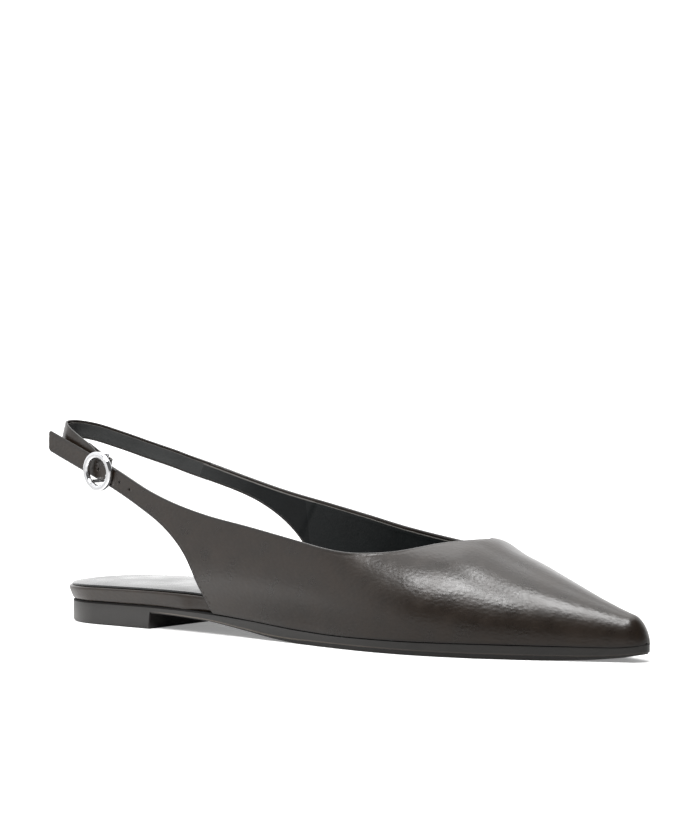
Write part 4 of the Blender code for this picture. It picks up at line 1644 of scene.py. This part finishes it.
@dataclass
class Sling:
    """Flat strap from the inner quarter round the heel, folded round the buckle's bar."""

    upper: Upper
    width: float = 7.4
    thickness: float = STRAP_THICKNESS
    corner: float = 0.32
    lining: float = 0.42
    lining_margin: float = 0.95
    lining_corner: float = 0.12
    lining_end: float = 0.5
    overlap: float = 0.03
    tuck_in: float = 4.0
    lead: float = 5.0
    heading_column: int = 14
    lean: float = 0.31
    bar_turn: tuple[float, float] = (90.0, -115.0)
    bar_points: int = 8
    bar_across: float = 0.4
    groove_place: float = 1.3
    groove_width: float = 0.4
    dark_width: float = 0.8
    corner_points: int = 5
    face_points: int = 10
    steps: int = 60
    spacing: float = 0.3

    def route(self) -> tuple[Array, Array]:
        """Centre line of the strap and the direction that its width takes.

        It leaves the end of the inner quarter, rounds the heel, runs inside the lateral strap,
        turns back round the bar and ends behind itself.

        Returns:
            Points to pass and the width's directions there.
        """
        upper = self.upper
        feet, tops = upper.ends(MEDIAL_PATTERN, upper.columns(MEDIAL_PATTERN, 0.0))
        middle = 0.5 * (feet + tops)
        along = unit(middle[0] - middle[self.heading_column])
        inward = unit(np.cross(UP, along))
        start = middle[0] + 0.5 * UPPER_WALL * inward - self.tuck_in * along
        leave = start + (self.tuck_in + self.lead) * along
        centre, axes = upper.strap_axes(RING_PLACE)
        outer = -(UPPER_WALL + GAP + 0.5 * self.thickness)
        bend = BAR_RADIUS + GAP + 0.5 * self.thickness
        pinched = outer - self.thickness - GAP
        folds = [
            FoldRow(-15.0, 2.9, outer, 0.16),
            FoldRow(-9.0, 1.5, outer, 0.08),
            FoldRow(-6.2, 0.8, outer, 0.0),
        ]
        for turn in np.radians(np.linspace(*self.bar_turn, self.bar_points)):
            ahead, out = bend * math.cos(turn), bend * math.sin(turn)
            folds.append(FoldRow(BAR_PLACE + ahead, self.bar_across, outer - bend + out, 0.0))
        folds += [
            FoldRow(-7.6, 1.1, pinched - 0.2, 0.05),
            FoldRow(-10.5, 1.6, pinched, 0.1),
            FoldRow(-17.0, 2.3, pinched + 0.1, 0.16),
        ]
        table = np.array(folds)
        rows = np.concatenate([[start, leave], SLING_BACK, centre + table[:, :3] @ axes])
        lean = np.tile([self.lean, 0.0, 1.0], (2 + len(SLING_BACK), 1))
        ups = np.column_stack([table[:, 3], np.ones(len(table)), np.zeros(len(table))]) @ axes
        return rows, np.concatenate([lean, ups])

    def section(self, low: float, high: float, half: float, corner: float) -> tuple[Array, Array]:
        """Flat section with quarter-round corners and a stitch groove along each side.

        Args:
            low: Height of its inner face from the centre line.
            high: Height of its outer face.
            half: Half its width.
            corner: Radius of its corners.

        Returns:
            Places across the strap and heights of its points.
        """
        turn = np.linspace(0.0, RIGHT_ANGLE, self.corner_points)
        cos, sin = corner * np.cos(turn), corner * np.sin(turn)
        flat, top, base = half - corner, high - corner, low + corner
        fill = np.linspace(flat, -flat, self.face_points + 2)[1:-1]
        above, below = np.full_like(fill, high), np.full_like(fill, low)
        wide = np.concatenate(
            [flat + cos, fill, -flat - cos[::-1], -flat - cos, -fill, flat + cos[::-1]]
        )
        height = np.concatenate(
            [top + sin, above, top + sin[::-1], base - sin, below, base - sin[::-1]]
        )
        away = (half - np.abs(wide) - self.groove_place) / self.groove_width
        bed = self.upper.groove * np.exp(-(away**2))
        return wide, height - bed * np.sign(height - 0.5 * (low + high))

    def sweep(
        self, low: float, high: float, half: float, corner: float, ends: float
    ) -> tuple[Array, Array]:
        """Carries a rounded flat section along the route.

        Args:
            low: Height of the section's inner face from the centre line.
            high: Height of its outer face.
            half: Half its width.
            corner: Radius of its corners.
            ends: Length left off at each end.

        Returns:
            Points by place and corner, and how near each one is to an edge.
        """
        rows, ups = self.route()
        dense = through_points(rows, self.steps)
        passed = lengths(dense)
        even = np.linspace(0.0, passed[-1], int(passed[-1] / self.spacing))
        line = np.stack([np.interp(even, passed, dense[:, axis]) for axis in range(3)], 1)
        spot = np.interp(even, passed, np.linspace(0.0, len(ups) - 1.0, len(dense)))
        up = np.stack([np.interp(spot, np.arange(len(ups)), ups[:, axis]) for axis in range(3)], 1)
        along = unit(np.gradient(line, axis=0))
        across = unit(up - along * np.sum(up * along, axis=1, keepdims=True))
        out = np.cross(along, across)
        line[0] += ends * along[0]
        line[-1] -= ends * along[-1]
        wide, height = self.section(low, high, half, corner)
        grid = line[:, None] + across[:, None] * wide[:, None] + out[:, None] * height[:, None]
        caps = [
            np.broadcast_to(end.mean(axis=1, keepdims=True), end.shape)
            for end in (grid[:1], grid[-1:])
        ]
        dark = np.exp(-(((half - np.abs(wide)) / self.dark_width) ** 2))
        near = np.broadcast_to(dark, grid.shape[:2])
        return (
            np.concatenate([caps[0], grid, caps[1]]),
            np.concatenate([near[:1], near, near[-1:]]),
        )

    def build(self) -> None:
        """Builds and dresses the strap's leather and its lining."""
        half, wide = 0.5 * self.thickness, 0.5 * self.width
        split = self.lining - half
        leather = Patchwork()
        grid, near = self.sweep(split - self.overlap, half, wide, self.corner, 0.0)
        leather.add(grid, 0, near, wrap=True)
        piece = leather.build("sling_leather", [NAPPA], sharp=50.0)
        settle(piece, Slot.LEATHER, "sling_strap")
        lining = Patchwork()
        wide = wide - self.lining_margin
        grid, near = self.sweep(-half, split, wide, self.lining_corner, self.lining_end)
        # The corners along the strap's top show the raw cut.
        row, count = np.arange(grid.shape[1]), self.corner_points
        raw = (row < count - 1) | (row >= len(row) - count)
        lining.add(grid, raw.astype(int), wrap=True)
        # The sling's lining is painted lighter than the lining leather: a painted sheen.
        piece = lining.build("sling_lining", [SLING_LINING_PAINTED_SHEEN, CUT_EDGE], sharp=50.0)
        settle(piece, Slot.SOCK)


@dataclass
class Buckle:
    """Round buckle: a softened flat ring, its bar on two posts, and the stud."""

    upper: Upper
    outer: float = 7.8
    inner: float = 5.4
    depth: float = 2.2
    bar_overhang: float = 0.5
    post_radius: float = 0.7
    stud_radius: float = 0.65
    ring_sides: int = 160
    section_sides: int = 48
    rod_sides: int = 32
    dome_rings: int = 7
    fullness: float = 2.8
    stretch: float = 1.05
    yaw: float = 5.0
    lift: float = 0.3

    def build(self) -> None:
        """Builds and dresses the buckle as one piece."""
        centre, axes = self.upper.strap_axes(RING_PLACE)
        work = Patchwork()
        turn = math.radians(self.yaw)
        along = axes[0] * math.cos(turn) - axes[2] * math.sin(turn)
        out = axes[2] * math.cos(turn) + axes[0] * math.sin(turn)
        ring = self.ring() @ np.stack([along, axes[1], out])
        work.add(centre + self.lift * axes[2] + ring, wrap=True)
        middle = 0.5 * (self.outer + self.inner)
        deep = -(UPPER_WALL + GAP + STRAP_THICKNESS + GAP + BAR_RADIUS)
        reach = math.sqrt(middle**2 - BAR_PLACE**2)
        end = reach + self.bar_overhang
        top = GAP + 0.5 * self.depth
        rods = (
            ((BAR_PLACE, -end, deep), (BAR_PLACE, end, deep), BAR_RADIUS),
            ((BAR_PLACE, -reach, deep), (BAR_PLACE, -reach, top), self.post_radius),
            ((BAR_PLACE, reach, deep), (BAR_PLACE, reach, top), self.post_radius),
            ((STUD_PLACE, 0.0, -UPPER_WALL), (STUD_PLACE, 0.0, top), self.stud_radius),
        )
        for first, last, radius in rods:
            rod = self.rod(np.array(first), np.array(last), radius)
            work.add(centre + rod @ axes, wrap=True)
        settle(work.build("buckle", [CHROME], sharp=60.0), Slot.STEEL, "buckle_ring")

    def ring(self) -> Array:
        """Superellipse section turned about the ring's axis; its first and last columns meet.

        Returns:
            Points along, across and out of the strap.
        """
        turn = np.linspace(0.0, FULL_TURN, self.ring_sides + 1)[:, None]
        bead = np.linspace(0.0, FULL_TURN, self.section_sides + 1)[None, :-1]
        power = 2.0 / self.fullness
        cos, sin = np.cos(bead), np.sin(bead)
        radius = 0.5 * (self.outer + self.inner)
        radius = radius + 0.5 * (self.outer - self.inner) * np.sign(cos) * np.abs(cos) ** power
        height = GAP + 0.5 * self.depth * (1.0 + np.sign(sin) * np.abs(sin) ** power)
        wide = self.stretch * radius * np.cos(turn)
        return np.stack(np.broadcast_arrays(wide, radius * np.sin(turn), height), -1)

    def rod(self, start: Array, end: Array, radius: float) -> Array:
        """Straight rod whose rings follow a quarter circle at each end.

        Args:
            start: One end.
            end: The other end.
            radius: Its radius.

        Returns:
            Points by ring and side.
        """
        axis = unit(end - start)
        # Any direction that no rod takes serves to find the spokes.
        side = unit(np.cross(axis, np.array([0.3, 0.5, 0.81])))
        other = np.cross(axis, side)
        dome = np.linspace(0.0, RIGHT_ANGLE, self.dome_rings)
        length = float(np.linalg.norm(end - start))
        first, size = radius * (1 - np.cos(dome)), radius * np.sin(dome)
        place = np.concatenate([first, length - first[::-1]])
        size = np.concatenate([size, size[::-1]])
        turn = np.linspace(0.0, FULL_TURN, self.rod_sides + 1)[None, :-1]
        spoke = np.cos(turn)[..., None] * side + np.sin(turn)[..., None] * other
        return start + axis * place[:, None, None] + spoke * size[:, None, None]


# ----------------------------------------------------------------------------------------
# Studio
# ----------------------------------------------------------------------------------------


class Lamp(NamedTuple):
    """A rectangular soft light: place and size in metres, power in watts, roll in degrees."""

    name: str
    place: Place
    size: tuple[float, float]
    power: float
    roll: float = 0.0


LAMPS = (
    Lamp("front_strip", (-0.03, -0.8, 1.02), (0.6, 0.3), 13.4, 34.0),
    Lamp("side_strip", (0.31, -0.36, 1.19), (0.28, 0.5), 9.2, -4.0),
    Lamp("heel_softbox", (-0.42, -0.17, 1.45), (1.0, 0.7), 3.6),
    Lamp("top_softbox", (-0.1, 0.5, 1.6), (1.6, 1.2), 15.0),
)


@dataclass
class Studio:
    """Pale floor, soft light and the camera at the photograph's angle.

    The target lies in the shoe, in metres. The target's pixel and the scale, in pixels for
    each millimetre there, are read from the photograph, whose size in pixels is the image's.
    """

    image: tuple[int, int] = (697, 838)
    target: Place = (0.00515, 0.000255, 0.030)
    azimuth: float = 38.0
    elevation: float = 5.0
    distance: float = 1.4
    scale: float = 2.615
    target_pixel: tuple[float, float] = (352.2, 559.3)
    sensor: float = 36.0
    clip: tuple[float, float] = (0.05, 60.0)
    floor_radius: float = 1.1
    floor_rings: int = 33
    floor_sides: int = 64
    # Brightness of the surround, and the directions between which each part of it fades in.
    front_glow: float = 0.12
    back_glow: float = 1.85
    back_fade: tuple[float, float] = (0.3, 1.0)
    back_turn: float = -0.7
    side_glow: float = 1.2
    side_fade: tuple[float, float] = (-0.3, -0.6)
    low_glow: float = 0.65
    low_fade: tuple[float, float] = (0.1, 0.02)

    def build(self) -> None:
        """Builds the floor, the lights and the camera."""
        self.floor()
        self.surround()
        for lamp in LAMPS:
            self.softbox(lamp)
        self.camera()

    def floor(self) -> None:
        """Round floor: rings of growing radius about the shoe, all at the height of the sole."""
        radius = np.linspace(0.0, 1.0, self.floor_rings)[:, None] ** 2 * self.floor_radius / MM
        turn = np.linspace(0.0, FULL_TURN, self.floor_sides + 1)[None, :-1]
        plan = [radius * np.cos(turn), radius * np.sin(turn), 0.0 * radius * turn]
        work = Patchwork()
        work.add(np.stack(plan, -1), wrap=True)
        floor = work.build("studio_floor", [PAPER], sharp=60.0)
        if floor.data.polygons[-1].normal.z < 0.0:
            floor.data.flip_normals()

    def surround(self) -> None:
        """Studio surround: bright behind and on the heel's side, dim in front but for its foot.

        Each part fades in over a range of directions, and the brightest part counts. The
        camera itself sees white.
        """
        world = bpy.data.worlds.new("studio_surround")
        world.use_nodes = True
        tree = world.node_tree
        sheet = tree.nodes["Background"]
        way = tree.nodes.new("ShaderNodeTexCoord").outputs["Generated"]
        split = add_node(tree, "ShaderNodeSeparateXYZ", {}, {"Vector": way})
        rear = add_node(
            tree, "ShaderNodeMath", {"operation": "MULTIPLY_ADD", 1: self.back_turn},
            {0: split.outputs["X"], 2: split.outputs["Y"]},
        )
        parts = (
            (rear.outputs[0], self.back_fade, self.back_glow),
            (split.outputs["X"], self.side_fade, self.side_glow),
            (split.outputs["Z"], self.low_fade, self.low_glow),
        )
        glow = tree.nodes.new("ShaderNodeLightPath").outputs["Is Camera Ray"]
        for direction, (start, end), bright in parts:
            part = add_node(
                tree, "ShaderNodeMapRange",
                {"From Min": start, "From Max": end, "To Min": self.front_glow, "To Max": bright},
                {"Value": direction},
            )
            most = add_node(
                tree, "ShaderNodeMath", {"operation": "MAXIMUM"},
                {0: glow, 1: part.outputs["Result"]},
            )
            glow = most.outputs[0]
        sheet.inputs["Color"].default_value = linear("#ffffff")
        tree.links.new(glow, sheet.inputs["Strength"])
        bpy.context.scene.world = world

    def softbox(self, lamp: Lamp) -> None:
        """Adds a soft light that points at the shoe.

        Args:
            lamp: Its row.
        """
        light = bpy.data.lights.new(lamp.name, "AREA")
        light.shape = "RECTANGLE"
        light.size, light.size_y = lamp.size
        light.energy = lamp.power
        thing = bpy.data.objects.new(lamp.name, light)
        thing.location = lamp.place
        aim = (Vector(self.target) - Vector(lamp.place)).to_track_quat("-Z", "Y")
        roll = Quaternion((0.0, 0.0, 1.0), math.radians(lamp.roll))
        thing.rotation_euler = (aim @ roll).to_euler()
        bpy.context.scene.collection.objects.link(thing)

    def camera(self) -> None:
        """Camera at the photograph's angle, aimed so that the shoe falls low in the frame.

        The focal length gives the measured pixels per millimetre at the target, and the aim
        turns away from the target by the pixels between it and the middle of the frame.
        """
        turn, lift = math.radians(self.azimuth), math.radians(self.elevation)
        level = math.cos(lift)
        back = Vector((math.sin(turn) * level, -math.cos(turn) * level, math.sin(lift)))
        right = Vector((math.cos(turn), math.sin(turn), 0.0))
        up = back.cross(right)
        focal = self.scale * self.distance / MM
        aside = 0.5 * self.image[0] - self.target_pixel[0]
        above = self.target_pixel[1] - 0.5 * self.image[1]
        lens = bpy.data.cameras.new("camera")
        lens.sensor_width = self.sensor
        lens.lens = focal * self.sensor / max(self.image)
        lens.clip_start, lens.clip_end = self.clip
        thing = bpy.data.objects.new("camera", lens)
        thing.location = Vector(self.target) + back * self.distance
        aim = -back * focal + right * aside + up * above
        thing.rotation_euler = aim.to_track_quat("-Z", "Y").to_euler()
        bpy.context.scene.collection.objects.link(thing)
        bpy.context.scene.camera = thing


def main() -> None:
    """Builds the pieces in order, then the studio."""
    logging.basicConfig(level=logging.INFO, format="%(name)s: %(message)s")
    scene = bpy.context.scene
    scene.view_settings.view_transform = "Standard"
    scene.view_settings.look = "None"
    upper = Upper(Last())
    upper.build()
    Sole().build()
    Sling(upper).build()
    Buckle(upper).build()
    Studio().build()


if __name__ == "__main__":
    main()
